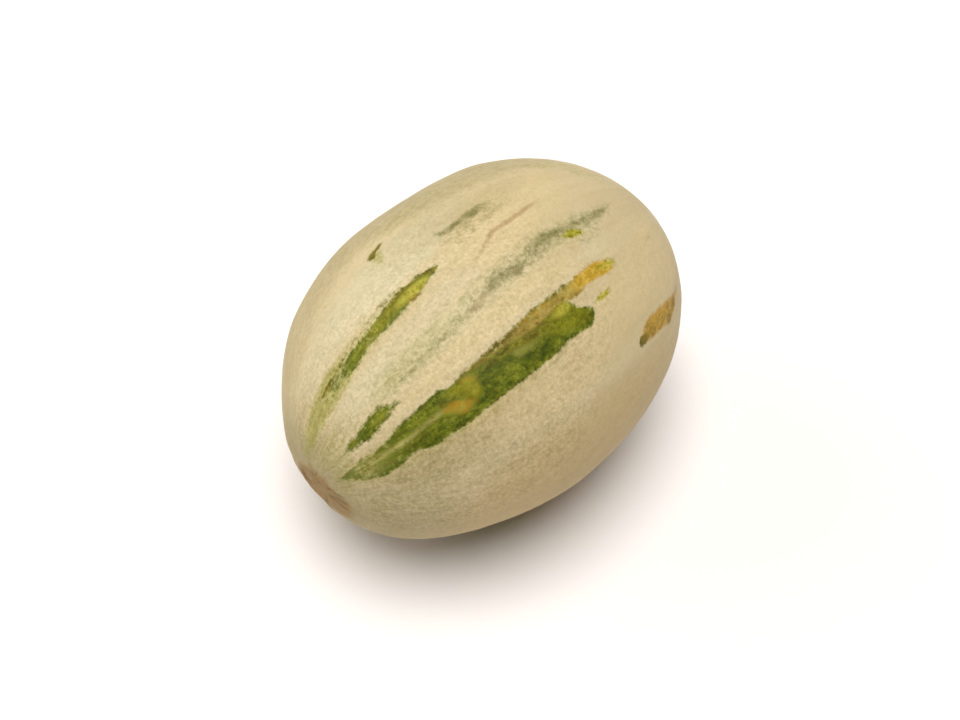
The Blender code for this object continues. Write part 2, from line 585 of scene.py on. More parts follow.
@dataclass(frozen=True)
class Mark:
    """One streak, band or fleck of a pigment, between an upper and a lower edge that run along the fruit.

    Both edges are pairs of millimetres along and degrees of turn, and the cover is pairs of millimetres along
    and how strongly the pigment covers the skin there.
    """

    name: str
    pigment: Pigment
    upper: Edge
    lower: Edge
    cover: Edge
    edge_width: float  # millimetres

    def presence(self, along: Floats, turn: Floats, radius: Floats,
                 edge_width: float | None = None) -> Floats:
        """Works out how strongly the pigment is present at each point of the skin.

        Args:
            along: millimetres along the fruit.
            turn: degrees of turn.
            radius: millimetres from the axis.
            edge_width: how far the edge runs out, in millimetres, where it isn't the mark's own.

        Returns:
            The cover inside the mark, falling to 0 across its edge.
        """
        upper, lower = smooth_line(self.upper, along), smooth_line(self.lower, along)
        off_middle = (turn - (upper + lower) / 2 + 180) % 360 - 180
        depth = ((lower - upper) / 2 - np.abs(off_middle)) * np.radians(1) * radius
        start = min(self.upper[0][0], self.lower[0][0])
        end = max(self.upper[-1][0], self.lower[-1][0])
        depth = np.minimum(depth, np.minimum(along - start, end - along))
        cover = np.interp(along, *np.array(self.cover, float).T)
        return cover * smooth_step(depth / (edge_width or self.edge_width) + 0.5)


def strip(name: str, pigment: Pigment, *steps: tuple[float, ...], edge_width: float = 1.6) -> Mark:
    """A mark whose two edges and cover are given at the same few places.

    Args:
        name: what the mark is.
        pigment: the colour of it.
        steps: millimetres along, upper turn and lower turn in degrees, and the cover, at each place.
        edge_width: how far the edge runs out, in millimetres.

    Returns:
        The mark.
    """
    upper = tuple((step[0], step[1]) for step in steps)
    lower = tuple((step[0], step[2]) for step in steps)
    cover = tuple((step[0], step[3]) for step in steps)
    return Mark(name, pigment, upper, lower, cover, edge_width)


# The marks of the side that faces the camera. Each step of a strip is millimetres along, the upper and the
# lower turn in degrees, and the cover.
NEAR_MARKS = (
    strip("left streak", Pigment.LEAF_GREEN, (-67.5, 82, 88, 0.17), (-63, 80.5, 88, 0.35),
          (-60, 81, 88.4, 0.42), (-57.6, 82.4, 88.7, 0.54), (-54, 82.8, 88.8, 0.86),
          (-51, 82.6, 88.6, 0.86), (-48, 82.6, 88.6, 0.78), (-45.4, 83, 88.6, 0.58),
          (-43.4, 83, 88.6, 0.64), (-41, 83, 88.7, 0.86), (-37, 82.7, 88.8, 0.95), (-33, 82.3, 88.6, 0.97),
          (-28, 82.5, 88.2, 0.97), (-24, 83, 87.8, 0.95), (-20, 83.8, 87, 0.95), (-17, 84.5, 86.2, 0.95),
          (-15.2, 85, 85.6, 0.85), edge_width=2.2),
    strip("left streak's speckled upper side", Pigment.OLIVE, (-66, 79.6, 83.6, 0.3),
          (-63.8, 80.2, 83.5, 1), (-61.6, 80.5, 83.4, 0.96), (-60, 80.4, 83.2, 0.6),
          (-56, 80.4, 82.8, 0.55), (-50, 80.4, 82.6, 0.41), (-42, 79.6, 82, 0.4), (-36, 79.6, 82, 0.41),
          (-30, 80, 82, 0.3), (-26, 80.6, 82.4, 0.12), edge_width=2.8),
    strip("left streak's haze", Pigment.HAZE, (-78, 76, 88, 0.5), (-74, 75.5, 90, 0.75),
          (-70, 76, 90.6, 0.95), (-65, 76.8, 90.8, 1), (-60, 77.4, 90.6, 0.9), (-54, 79, 90.2, 0.7),
          (-46, 80, 90, 0.55), (-38, 80, 90, 0.45), (-30, 80.2, 90.8, 0.45), (-24, 81.2, 89.4, 0.4),
          (-17, 83, 88, 0.25), edge_width=4.5),
    strip("left streak's deep dashes", Pigment.DEEP_GREEN, (-57.6, 86.4, 88.8, 0.24),
          (-53, 86.8, 88.7, 0.31), (-51, 87, 88.2, 0.12), (-48.6, 83.2, 88, 0.22), (-46.8, 83, 88.4, 0.24),
          (-45, 86.6, 88.2, 0.1), (-42.4, 86.6, 88.7, 0.19), (-39, 86.4, 88.9, 0.22),
          (-36.4, 83.2, 88.8, 0.18), (-34.2, 84, 88.6, 0.14), (-32, 86.4, 88, 0.05)),
    strip("left streak's yellow fringe", Pigment.HAZE, (-58, 77, 91, 0.2), (-48, 77.4, 91, 0.32),
          (-38, 78.4, 90.8, 0.34), (-28, 79.6, 90.4, 0.3), (-20, 81, 89, 0.15), edge_width=4),
    strip("left streak's heart", Pigment.LIME, (-36, 84.8, 87, 0.31), (-33, 84.4, 87.6, 0.58),
          (-30, 84, 87.8, 0.77), (-27, 84, 88.2, 0.92), (-24, 84.4, 88, 0.95), (-21, 85, 87.3, 0.77),
          (-18.6, 85.8, 86.6, 0.31), edge_width=3.2),
    strip("left streak's lighter middle", Pigment.MOSS, (-57, 83, 88, 0.35), (-50, 83, 88, 0.53),
          (-40, 83, 88, 0.7), (-34, 82.6, 87.6, 0.88), (-28, 82.8, 87, 0.7), (-22, 84, 86.6, 0.35),
          edge_width=3),
    strip("left streak's golden middle", Pigment.OCHRE, (-27, 85.6, 86.8, 0.2), (-24.5, 85.2, 87.2, 0.5),
          (-22, 85.4, 86.8, 0.3), edge_width=2.2),
    strip("left streak's upper rim", Pigment.OLIVE, (-36, 82.5, 84.2, 0.42), (-32, 82.3, 84.6, 0.78),
          (-28, 82.5, 84.6, 0.78), (-24, 82.9, 84.8, 0.72), (-21, 83.6, 85.1, 0.81),
          (-19, 84.1, 86.1, 0.85), (-17, 84.5, 86.3, 0.85), (-15.2, 85, 85.7, 0.77), edge_width=1.8),
    strip("left streak's lower dashes", Pigment.BROWN, (-32.6, 86.8, 88, 0.3), (-30.6, 87.3, 88.7, 0.6),
          (-28.6, 87.4, 89, 0.9), (-26.2, 87.4, 88.7, 0.8), (-24.8, 87.4, 88, 0.3), edge_width=1.5),
    strip("small streak", Pigment.LEAF_GREEN, (-69.8, 110.4, 113.4, 0.56), (-68.4, 109.4, 114.8, 0.94),
          (-66.6, 109.2, 114.8, 0.94), (-65.4, 109.4, 114.8, 0.72), (-64, 108.4, 115.6, 0.86),
          (-62, 108, 115.6, 0.83), (-59.5, 107.2, 115, 0.83), (-57, 106.8, 113.8, 0.83),
          (-55.2, 107.8, 113.4, 0.78), (-53.6, 108.9, 112.9, 0.72), (-51.4, 110.2, 112, 0.54),
          edge_width=3.2),
    strip("small streak's heart", Pigment.LIME, (-63, 110, 112.4, 0.25), (-60, 109.6, 113, 0.45),
          (-57, 109.4, 112.8, 0.5), (-54.6, 109.8, 112.2, 0.38), edge_width=3),
    strip("small streak's deep spots", Pigment.DEEP_GREEN, (-69, 110.4, 113.4, 0.32),
          (-67.4, 110.6, 113, 0.27), (-65, 111.4, 114, 0.32), (-62.6, 110.2, 114.4, 0.63),
          (-60, 112, 114.6, 0.72), (-58, 112, 113.8, 0.54), (-56.8, 112, 113, 0.18), edge_width=2),
    strip("small streak's root", Pigment.GREY_OLIVE, (-78, 112.7, 115.2, 0.4), (-74, 112.8, 114.8, 0.45),
          (-69, 111.8, 114, 0.4), edge_width=2.2),
    Mark("main streak's root", Pigment.LEAF_GREEN,
         upper=((-75.5, 128.4), (-74, 126), (-72.5, 124.4), (-70.5, 123), (-68.5, 122), (-67, 122.8),
                (-65.5, 123.2), (-64, 122.2), (-61, 121.2), (-58, 119.8), (-55, 118.7), (-52, 118.5),
                (-47, 117.7), (-43, 117.2), (-40.5, 117.5), (-39, 118.6), (-36, 119.6)),
         lower=((-75.5, 129.6), (-73.5, 130.6), (-71.5, 131.8), (-70.4, 134.4), (-68, 136), (-65.5, 136.1),
                (-63, 135.3), (-60, 134.2), (-57.5, 132.6), (-55, 132), (-53, 133.1), (-51, 133.6),
                (-48, 133.1), (-45, 132.8), (-40, 132.5), (-36, 131.5)),
         cover=((-75.5, 0.5), (-73, 0.86), (-71.6, 0.86), (-70, 0.52), (-68, 0.58), (-66, 0.72),
                (-64, 0.88), (-60, 0.8), (-56, 0.83), (-50, 0.9), (-44, 0.93), (-38, 0.95)),
         edge_width=2.2),
    Mark("main streak's middle", Pigment.LEAF_GREEN,
         upper=((-44, 121.8), (-42, 119), (-39, 118.6), (-36, 118.2), (-31, 117.9), (-20, 118.4),
                (-10, 118.2), (0, 118.2), (5, 118.8), (8, 120.6), (9.4, 123), (10.6, 124.6), (12.5, 125.5),
                (14, 127.4)),
         lower=((-44, 128.4), (-42, 131), (-40, 132.4), (-35, 132.1), (-30, 131.6), (-20, 131.2),
                (-10, 131), (-5.5, 131), (-3, 130.5), (0, 129.7), (3, 129.8), (5, 130.5), (9, 131),
                (11, 131.2), (12.4, 130.3), (13.4, 129.1), (14, 128.2)),
         cover=((-44, 0.9), (-38, 0.96), (14, 0.96)),
         edge_width=1.5),
    strip("main streak's lower side", Pigment.LEAF_GREEN, (-14, 128, 131.2, 0.6), (-6, 128, 131, 0.7),
          (0, 128, 130.6, 0.7), (5, 128, 130.8, 0.7), (10, 128, 131.2, 0.55), edge_width=2),
    strip("root's lower side", Pigment.LEAF_GREEN, (-60, 130, 133.8, 0.6), (-57, 130, 133, 0.68),
          (-54, 130, 132.8, 0.68), (-51, 130, 133.4, 0.6), edge_width=2.2),
    strip("haze under the main streak", Pigment.HAZE, (-62, 131, 137, 0.3), (-50, 131.6, 136, 0.4),
          (-40, 131, 135.2, 0.4), (-26, 130.4, 134.4, 0.36), (-10, 129.8, 133.8, 0.34),
          (4, 129.4, 132.8, 0.3), (12, 129, 132.4, 0.2), edge_width=2.4),
    strip("main streak's khaki root", Pigment.HAZE, (-76, 126, 131, 0.46), (-73.4, 124, 133, 0.83),
          (-70, 121.8, 136, 0.9), (-66, 121.6, 137, 0.9), (-61, 120.4, 135.4, 0.76),
          (-56, 118.4, 133, 0.46), (-50, 117.8, 133.6, 0.23), edge_width=3.4),
    strip("brown by the split", Pigment.OLIVE, (-64, 126.8, 129.4, 0.24), (-58, 126.4, 129.8, 0.42),
          (-52, 125.6, 129, 0.46), (-47, 125, 128, 0.4), (-44, 124.6, 127, 0.2), edge_width=3.4),
    strip("main streak's cream split", Pigment.SPLIT, (-71.4, 125.6, 130, 0.31),
          (-69.5, 124.6, 131.6, 0.72), (-67.6, 124.2, 131.6, 0.79), (-66, 124, 128.6, 0.72),
          (-64, 123.8, 128, 0.79), (-61, 124, 127.5, 0.67), (-58, 124.1, 127.5, 0.8),
          (-55, 124.1, 127.1, 0.72), (-52, 123.5, 126.2, 0.79), (-49.6, 123.3, 125.9, 0.6),
          (-47, 123, 125.8, 0.74), (-44.6, 122.7, 125.6, 0.6), (-42, 122.6, 125, 0.36), edge_width=2.8),
    strip("cream flecks of the root", Pigment.SPLIT, (-74, 125, 131, 0.34), (-70, 122.8, 134.6, 0.5),
          (-66, 122, 134.4, 0.48), (-61, 121, 133, 0.29), (-56, 119.5, 132, 0.08), (-49, 119, 131, 0.05),
          edge_width=3),
    strip("main streak's yellowed root", Pigment.MOSS, (-74, 126, 131, 0.17), (-68, 123.5, 134, 0.34),
          (-60, 122, 132.4, 0.29), (-52, 120, 130, 0.17), (-45, 119, 130, 0.17), edge_width=3),
    strip("deep green of the upper side", Pigment.DEEP_GREEN, (-66, 123.4, 124.4, 0.12),
          (-62, 122, 124.4, 0.18), (-58, 120.8, 124.6, 0.47), (-54, 119.4, 123, 0.43),
          (-50, 119, 122.4, 0.4), (-45.4, 118.4, 121.4, 0.43), (-42, 117.8, 120.6, 0.43),
          (-39.6, 119, 120.6, 0.14), edge_width=2.6),
    strip("deep green of the root", Pigment.DEEP_GREEN, (-75, 127.4, 129.6, 0.11),
          (-73, 125.6, 130.6, 0.16), (-71.6, 126, 131.6, 0.16), (-70.2, 129, 133, 0.06),
          (-68, 131.6, 135.4, 0.1), (-66, 129.4, 135, 0.16), (-63.6, 128.2, 134.4, 0.24),
          (-61.4, 129, 134, 0.16), (-58.6, 129, 132.4, 0.24), (-55.4, 128.4, 131.8, 0.45),
          (-52, 128.4, 133.2, 0.87), (-49.4, 128.6, 133, 0.77), (-46, 126.4, 132, 0.7),
          (-42, 126.4, 131.8, 0.29), (-38, 129.6, 132, 0.46), (-33, 128.6, 131.6, 0.46),
          (-28, 126.4, 131, 0.32), (-24, 126, 129, 0.22), edge_width=2.6),
    strip("deep green of the middle", Pigment.DEEP_GREEN, (-30.5, 122.4, 126, 0.55),
          (-27, 121, 126.2, 0.98), (-23, 120.8, 125.8, 0.98), (-19, 121, 124.8, 0.98),
          (-16, 124.4, 128.8, 0.94), (-14, 125.2, 129.8, 0.98), (-11, 125.4, 129.8, 0.98),
          (-6, 125, 129.6, 0.94), (0, 125, 128.6, 0.54), (5, 125.2, 128, 0.3), edge_width=3),
    strip("brown by the ochre patch", Pigment.OLIVE, (-47, 122, 124.4, 0.3), (-44, 121.2, 125, 0.5),
          (-41, 121, 124.6, 0.55), (-38, 122, 125, 0.4), (-35.6, 124, 127, 0.2), edge_width=3.2),
    strip("ochre patch", Pigment.OCHRE, (-46, 123.4, 125.6, 0.2), (-43, 122.8, 127.2, 0.42),
          (-40.4, 122.8, 128.6, 0.54), (-38, 123.6, 129.4, 0.57), (-36, 124.6, 129.4, 0.5),
          (-34.4, 125.8, 129.1, 0.38), (-32.8, 126.8, 128.6, 0.2), edge_width=4),
    strip("moss patch", Pigment.MOSS, (-42, 118.4, 120.6, 0.26), (-39.6, 118.8, 122.6, 0.59),
          (-36, 118.4, 125, 0.75), (-33.5, 119, 127.2, 0.82), (-31.5, 120.6, 126.8, 0.75),
          (-29.6, 122.4, 125.4, 0.26), edge_width=3),
    strip("moss patch's bright fleck", Pigment.LIME, (-38, 120.4, 123, 0.16), (-35.4, 120.4, 125, 0.3),
          (-33.4, 120, 127.4, 0.48), (-31.8, 121, 127, 0.44), (-30, 123, 125.6, 0.16), edge_width=3.2),
    strip("ochre streak by the moss patch", Pigment.OCHRE, (-36, 118, 120, 0.2), (-33.4, 117.8, 121.6, 0.4),
          (-30.8, 118.6, 122.4, 0.44), (-28.4, 119.8, 122, 0.24), edge_width=3),
    strip("main streak's brown upper side", Pigment.OLIVE, (-31, 119.4, 121.8, 0.3),
          (-25, 119.3, 121.8, 0.52), (-19, 119.3, 122.2, 0.62), (-13, 119.4, 123, 0.66),
          (-7, 119.4, 123.6, 0.66), (-1, 119.6, 123.8, 0.56), (4, 120.4, 124, 0.36), (8, 122, 124.6, 0.2),
          edge_width=3.2),
    strip("main streak's yellowed end", Pigment.MOSS, (-18, 121.6, 124.4, 0.28), (-11, 121, 125, 0.46),
          (-5, 120.8, 125.6, 0.53), (1, 120.6, 128.2, 0.53), (5, 121, 128.8, 0.57), (9.4, 123, 129.6, 0.57),
          (13, 126, 129.6, 0.53), edge_width=4),
    strip("main streak's worn band", Pigment.SPLIT, (-18.6, 122.2, 123.8, 0.26), (-16, 121.8, 124.8, 0.54),
          (-12, 122.2, 125, 0.5), (-8, 122.8, 125.2, 0.37), (-3, 123.2, 124.8, 0.22), edge_width=2.4),
    strip("main streak's lower rim", Pigment.RIM, (-46, 131.8, 132.8, 0.27), (-42, 131.4, 132.6, 0.5),
          (-36, 131.2, 132.4, 0.47), (-28, 130.5, 131.8, 0.52), (-20, 130.1, 131.4, 0.5),
          (-12, 130.1, 131.2, 0.45), (-5, 129.9, 131.1, 0.45), (-1, 129.2, 130.2, 0.18),
          (5, 129.8, 130.6, 0.23), (10, 130.1, 131.4, 0.45), (12.8, 128.6, 130.6, 0.32), edge_width=1.8),
    strip("lime patch by the tongue", Pigment.LIME, (-3, 120.4, 121.8, 0.23), (0.6, 119.8, 122.4, 0.53),
          (3.6, 119.6, 123, 0.84), (6.6, 119.9, 123, 0.84), (9.2, 121, 122.6, 0.35), edge_width=3.4),
    strip("tongue's khaki ground", Pigment.HAZE, (-35, 117.4, 119.6, 0.37), (-28, 116.9, 119.6, 0.63),
          (-20, 116.7, 119.2, 0.67), (-12, 116.2, 118.8, 0.67), (-6, 115.7, 118.6, 0.67),
          (0, 115.4, 118.4, 0.67), (8, 115.6, 118.4, 0.67), (14, 115.8, 118, 0.52), (18, 116, 117.4, 0.22),
          edge_width=1.8),
    strip("tongue's amber ground", Pigment.AMBER, (8, 117, 120, 0.3), (13, 116.5, 120.6, 0.75),
          (18, 116, 120.4, 0.92), (24, 116.2, 121, 0.92), (28, 117.3, 121.7, 0.85),
          (31.4, 118.7, 121.1, 0.45), edge_width=2.8),
    strip("tongue's khaki root", Pigment.BUFF, (-34, 118.2, 119.4, 0.24), (-28, 118, 119.6, 0.5),
          (-20, 117.9, 119.6, 0.6), (-13, 117.8, 119.6, 0.5), edge_width=1.8),
    strip("tongue", Pigment.BUFF, (-18, 117.8, 120, 0.34), (-11, 117.5, 120.4, 0.74),
          (-4, 117.2, 120.5, 0.94), (2, 117, 120.2, 0.9), (7, 116.9, 120.4, 0.92), (10, 116.7, 121.1, 0.92),
          (13, 116.3, 121.2, 0.85), (16, 116, 120.9, 0.7), (19, 116.3, 120.3, 0.35), edge_width=2.4),
    strip("tongue's ochre tip", Pigment.OCHRE, (6, 117, 119.4, 0.16), (10.5, 116.7, 120, 0.36),
          (14, 116.1, 120.5, 0.62), (18, 115.8, 120.4, 0.85), (22, 115.8, 120.4, 0.9),
          (24.5, 116.1, 121.1, 0.9), (27, 116.9, 121.9, 0.9), (29, 117.8, 121.9, 0.8),
          (30.8, 118.6, 121.4, 0.5), (32, 119.2, 120.8, 0.2), edge_width=3.2),
    strip("tongue's lime tip", Pigment.LIME, (20, 117.4, 119, 0.17), (24, 117.4, 119.6, 0.38),
          (27, 117.2, 121, 0.54), (29.4, 117.8, 121.2, 0.61), (31.2, 118.3, 121.3, 0.71),
          (33, 119.2, 120.9, 0.52), edge_width=3),
    strip("tongue's golden upper side", Pigment.OCHRE, (-17, 116.6, 117.9, 0.2), (-12, 116.3, 118, 0.36),
          (-6, 116, 117.9, 0.44), (-1, 115.9, 117.9, 0.5), (3, 116.1, 117.9, 0.36), (7, 116.7, 118, 0.2),
          edge_width=1.8),
    strip("tongue's upper rim", Pigment.RIM, (-35, 117.1, 118.6, 0.13), (-28, 116.8, 118.3, 0.21),
          (-19, 116.4, 117.9, 0.27), (-13, 116, 117.4, 0.21), (-7, 115.5, 117, 0.24),
          (-3, 115.1, 116.7, 0.24), (2, 115.3, 116.6, 0.21), (8, 115.4, 116.7, 0.24),
          (14, 115.6, 116.7, 0.22), (17, 115.8, 116.6, 0.08), edge_width=1.8),
    strip("tongue's olive side", Pigment.OLIVE, (-37, 117.4, 120, 0.4), (-31, 117, 119.6, 0.66),
          (-24, 116.7, 119.4, 0.72), (-16, 116.3, 119.2, 0.74), (-8, 115.7, 119, 0.74),
          (0, 115.4, 118.6, 0.7), (7, 115.5, 118.4, 0.7), (13, 115.7, 118, 0.6), (17, 116, 117.2, 0.3),
          edge_width=2.6),
    strip("tongue's lower line", Pigment.BROWN, (-17, 119.3, 120.6, 0.2), (-11, 119.3, 121, 0.35),
          (-5, 119.3, 121, 0.41), (0, 119.3, 120.6, 0.38), (5, 119.5, 120.5, 0.3),
          (8.5, 120.2, 121.1, 0.33), (11, 120.6, 121.6, 0.42), (14, 120.4, 121.4, 0.35),
          (16.6, 120.2, 121, 0.12), edge_width=2),
    strip("tongue's pale line", Pigment.CREASE, (-22, 118.4, 119.2, 0.2), (-13, 118.3, 119.3, 0.5),
          (-4, 117.9, 119.1, 0.6), (4, 117.8, 119, 0.4), (9, 118, 119, 0.2), edge_width=1.4),
    strip("dark fleck", Pigment.OLIVE, (-27, 61.6, 62.6, 0.6), (-26, 61, 63.6, 0.95),
          (-24.6, 60.9, 64.3, 1), (-23.4, 60.9, 62.8, 0.85), (-21.8, 60.3, 62.2, 0.8),
          (-20, 60, 61.9, 0.85), (-18.6, 60, 61.2, 0.5), edge_width=1.8),
    strip("dark fleck's haze", Pigment.HAZE, (-28, 61, 67, 0.3), (-25, 60, 69, 0.65), (-21, 59, 65, 0.45),
          edge_width=4),
    strip("dull olive streak", Pigment.GREY_OLIVE, (-7.6, 75.8, 77.4, 0.92), (-6, 75.8, 78.2, 0.72),
          (-4, 76, 79, 0.66), (0, 75.9, 78.8, 0.72), (2.6, 76, 78.8, 0.55), (5, 75.4, 79.6, 0.82),
          (8, 75.6, 79.4, 0.79), (10.4, 75.6, 78.6, 0.6), (13.5, 75.4, 77.6, 0.45), (16.5, 74.8, 76.6, 0.2),
          edge_width=2.6),
    strip("dull olive streak's core", Pigment.RIM, (-7.6, 76, 77.4, 0.45), (-6, 76, 77.6, 0.3),
          (-3, 76.2, 77.6, 0.16), (1, 76.4, 77.8, 0.2), (3, 76.8, 78.4, 0.2), (5, 77.2, 79.3, 0.42),
          (7.2, 77.5, 79.2, 0.4), (9.6, 77.4, 78.6, 0.25), edge_width=2),
    strip("healed crease", Pigment.CREASE, (-9, 93.2, 94.6, 0.35), (-4, 91.2, 92.9, 0.55),
          (1, 88.9, 90.7, 0.7), (5, 87.4, 89.1, 0.9), (12, 87.4, 89.1, 1), (20, 87, 88.7, 0.95),
          (26, 86.6, 88, 0.6), (30, 86.6, 87.6, 0.2), edge_width=2.2),
    strip("faint streak's green wash", Pigment.FRINGE, (-60, 98, 109, 0.22), (-52, 97.6, 109.6, 0.54),
          (-42, 97.4, 109.4, 0.6), (-32, 97.4, 108.6, 0.6), (-22, 97.6, 107.8, 0.5), (-12, 97, 107, 0.45),
          (4, 96.6, 106.8, 0.45), (18, 96.4, 107, 0.45), (32, 97, 108.4, 0.43), (44, 97.6, 107, 0.37),
          (54, 99, 105, 0.11), edge_width=8),
    strip("faint streak", Pigment.GREY_OLIVE, (-56, 104.6, 109, 0.18), (-50, 104.2, 108.8, 0.34),
          (-42, 103.4, 108, 0.38), (-35, 102.8, 107.4, 0.36), (-28, 102, 107, 0.31),
          (-21, 101.4, 106.4, 0.33), (-15, 99.6, 105.8, 0.42), (-10, 98.4, 105.4, 0.46),
          (-4, 98, 105.2, 0.46), (3, 98.8, 105.4, 0.48), (10, 98.6, 105.4, 0.46), (16, 97.6, 105, 0.48),
          (22, 98, 105.2, 0.48), (30, 99, 106.4, 0.44), (38, 99.6, 106.4, 0.46), (44, 99.6, 105.2, 0.46),
          (50.5, 100.4, 103.4, 0.21), edge_width=6.5),
    strip("faint streak's cores", Pigment.GREY_OLIVE, (-52, 105.6, 108, 0.36), (-46, 105.2, 107.8, 0.55),
          (-40, 104.6, 107.2, 0.49), (-34, 104.2, 106.8, 0.53), (-29, 103.8, 106.4, 0.49),
          (-22, 103, 106, 0.44), (-16, 102.2, 105.6, 0.53), (-12, 101.2, 104.8, 0.61),
          (-9.4, 100.8, 104.8, 0.68), (-6, 99.4, 104, 0.63), (-2, 100.2, 104.4, 0.71),
          (2, 101, 104.9, 0.85), (4.6, 101.2, 104.4, 0.62), (10, 100, 103.8, 0.52),
          (13.5, 98.6, 102.4, 0.83), (16.5, 98.4, 102, 0.91), (19.4, 98.8, 102.2, 0.83),
          (24, 99.6, 103, 0.68), (33, 100.6, 104.2, 0.66), (38, 101, 104.6, 0.69), (43, 101, 104.4, 0.77),
          (48.6, 101, 103, 0.44), edge_width=4),
    strip("faint streak's brown cores", Pigment.CREASE, (-24, 103.6, 105.6, 0.28),
          (-17, 102.6, 105.6, 0.55), (-11, 101.6, 104.6, 0.44), (-6, 101, 103.6, 0.28),
          (2, 101.6, 104.4, 0.39), (6, 101.4, 103.4, 0.11), (15, 99.2, 101.4, 0.33),
          (19, 99.4, 101.4, 0.11), (38, 101.6, 104, 0.28), (44, 101.4, 104, 0.39), edge_width=3),
    strip("haze by the lime spot", Pigment.GREY_OLIVE, (21, 104, 108, 0.16), (27, 105.4, 110.6, 0.34),
          (33, 103.6, 111, 0.36), (39, 103, 109.6, 0.24), (44, 103, 107, 0.1), edge_width=5),
    strip("haze below the dull olive streak", Pigment.GREY_OLIVE, (-13, 76.6, 86, 0.1),
          (-4, 75.6, 86.4, 0.3), (6, 75.4, 86.4, 0.33), (14, 73.4, 84, 0.32), (23, 72.6, 81, 0.16),
          edge_width=7),
    strip("lime spot", Pigment.LIME, (21.4, 102.4, 103.8, 0.5), (24, 102.4, 105.3, 0.75),
          (27, 103, 106.6, 0.88), (30.2, 105, 107, 0.69), edge_width=2.6),
    strip("lime spot's rim", Pigment.RIM, (23, 104.2, 105.4, 0.26), (25.6, 104.6, 106.3, 0.4),
          (28, 105, 107.1, 0.48), (30, 105.7, 107.2, 0.4), edge_width=2.2),
    strip("lime fleck", Pigment.LIME, (15.6, 126, 127, 0.54), (18, 125.2, 127.6, 0.76),
          (21, 124.9, 127.7, 0.8), (24, 125.4, 126.9, 0.63), edge_width=2.2),
    strip("lime fleck's core", Pigment.RIM, (17.2, 126, 126.8, 0.29), (18.6, 125.8, 126.9, 0.32),
          (20.4, 125.8, 126.6, 0.19), (22.4, 125.4, 126.6, 0.32), (23.4, 125.3, 126.7, 0.32),
          edge_width=1.6),
    strip("right streak's amber ground", Pigment.AMBER, (25, 146.6, 150.6, 0.4), (28, 145.4, 151, 0.75),
          (33, 144.2, 151.8, 0.92), (38, 145.2, 153.2, 0.96), (43, 146.4, 155.8, 0.96),
          (47, 147.8, 155.6, 0.92), (50.5, 149, 154.8, 0.75), (53.5, 150, 154, 0.4), edge_width=3.6),
    strip("right streak", Pigment.OCHRE, (27, 147, 150.2, 0.28), (30, 145, 151, 0.46),
          (33, 144.6, 151.4, 0.52), (37, 145.4, 152.6, 0.55), (40, 146.2, 154, 0.59),
          (43, 147, 155.8, 0.59), (45.4, 147.8, 155.8, 0.56), (48, 149, 154.8, 0.55),
          (50.6, 149.8, 154.4, 0.35), (52.5, 150.2, 153.4, 0.14), edge_width=3.4),
    strip("right streak's golden haze", Pigment.OCHRE, (25, 142.4, 148, 0.07), (33, 141.6, 149, 0.18),
          (42, 143, 151, 0.19), (50, 145.6, 152.6, 0.14), (56, 148.4, 152.4, 0.05), edge_width=6),
    strip("right streak's brown wash", Pigment.BROWN, (27.5, 146, 150.4, 0.56), (31, 145, 151, 0.53),
          (36, 146, 152, 0.43), (41, 147, 154.6, 0.4), (46, 148.6, 155.2, 0.45), (51, 150, 154, 0.5),
          edge_width=3),
    strip("right streak's olive tip", Pigment.OLIVE, (24, 147.9, 149.8, 0.66), (25.4, 147, 150.5, 0.99),
          (28, 147.2, 150.5, 0.94), (30.4, 148, 150.6, 0.55), (32.4, 148.8, 150.4, 0.22), edge_width=2.2),
    strip("right streak's dark point", Pigment.RIM, (24.2, 148, 149.8, 0.48), (25.6, 147.4, 150.2, 0.74),
          (27.4, 147.8, 150.3, 0.6), (29.6, 148.6, 150.2, 0.24), edge_width=2),
    strip("right streak's tinge by the point", Pigment.BROWN, (25, 147, 150, 0.4),
          (28.4, 146.6, 150.4, 0.6), (31, 147.4, 150.6, 0.5), (33.4, 148.4, 150.4, 0.2), edge_width=2.4),
    strip("right streak's brown top", Pigment.BROWN, (28.6, 145.2, 147.4, 0.3), (31.5, 144.7, 147.3, 0.56),
          (33.6, 145, 147.4, 0.4), (35.4, 146, 147.4, 0.1), edge_width=2.4),
    strip("right streak's brown patches", Pigment.BROWN, (40.4, 151, 153.4, 0.4),
          (42.6, 151.4, 155.6, 0.85), (45.2, 152.4, 155.8, 0.85), (46.2, 151.8, 154, 0.5),
          (48.4, 150.8, 154.3, 0.85), (50.6, 151, 154.3, 0.9), (51.8, 151.6, 153.2, 0.3), edge_width=2.2),
    strip("right streak's lower edge", Pigment.BROWN, (34, 149.6, 151.4, 0.3), (36.6, 150.4, 152.4, 0.5),
          (38.6, 151.2, 153, 0.3), edge_width=2.2),
    strip("right streak's far end", Pigment.CREASE, (50, 149, 154, 0.36), (54, 149.4, 154, 0.7),
          (57, 149.4, 153.4, 0.5), (61, 149.2, 152, 0.1), edge_width=4.5),
    strip("right streak's lower haze", Pigment.HAZE, (43, 154, 157, 0.2), (50, 153, 157.4, 0.34),
          (57, 152, 156, 0.2), edge_width=4),
    strip("brown smudge", Pigment.CREASE, (-26, 137.2, 138.8, 0.2), (-22, 136.6, 140, 0.5),
          (-19, 137.4, 139, 0.2), edge_width=3),
    strip("faint brown streak", Pigment.CREASE, (-9, 135, 136.6, 0.25), (0, 134.8, 136.6, 0.55),
          (7, 135, 136, 0.2), edge_width=2.4),
    strip("brown dash", Pigment.BROWN, (51, 122.2, 123, 0.4), (53.5, 121.9, 123.1, 0.6),
          (56, 122.3, 123, 0.3)),
    strip("haze over the far end", Pigment.HAZE, (36, 62, 74, 0.3), (46, 62, 76, 0.4), (56, 62, 92, 0.35),
          (66, 70, 96, 0.2), edge_width=10),
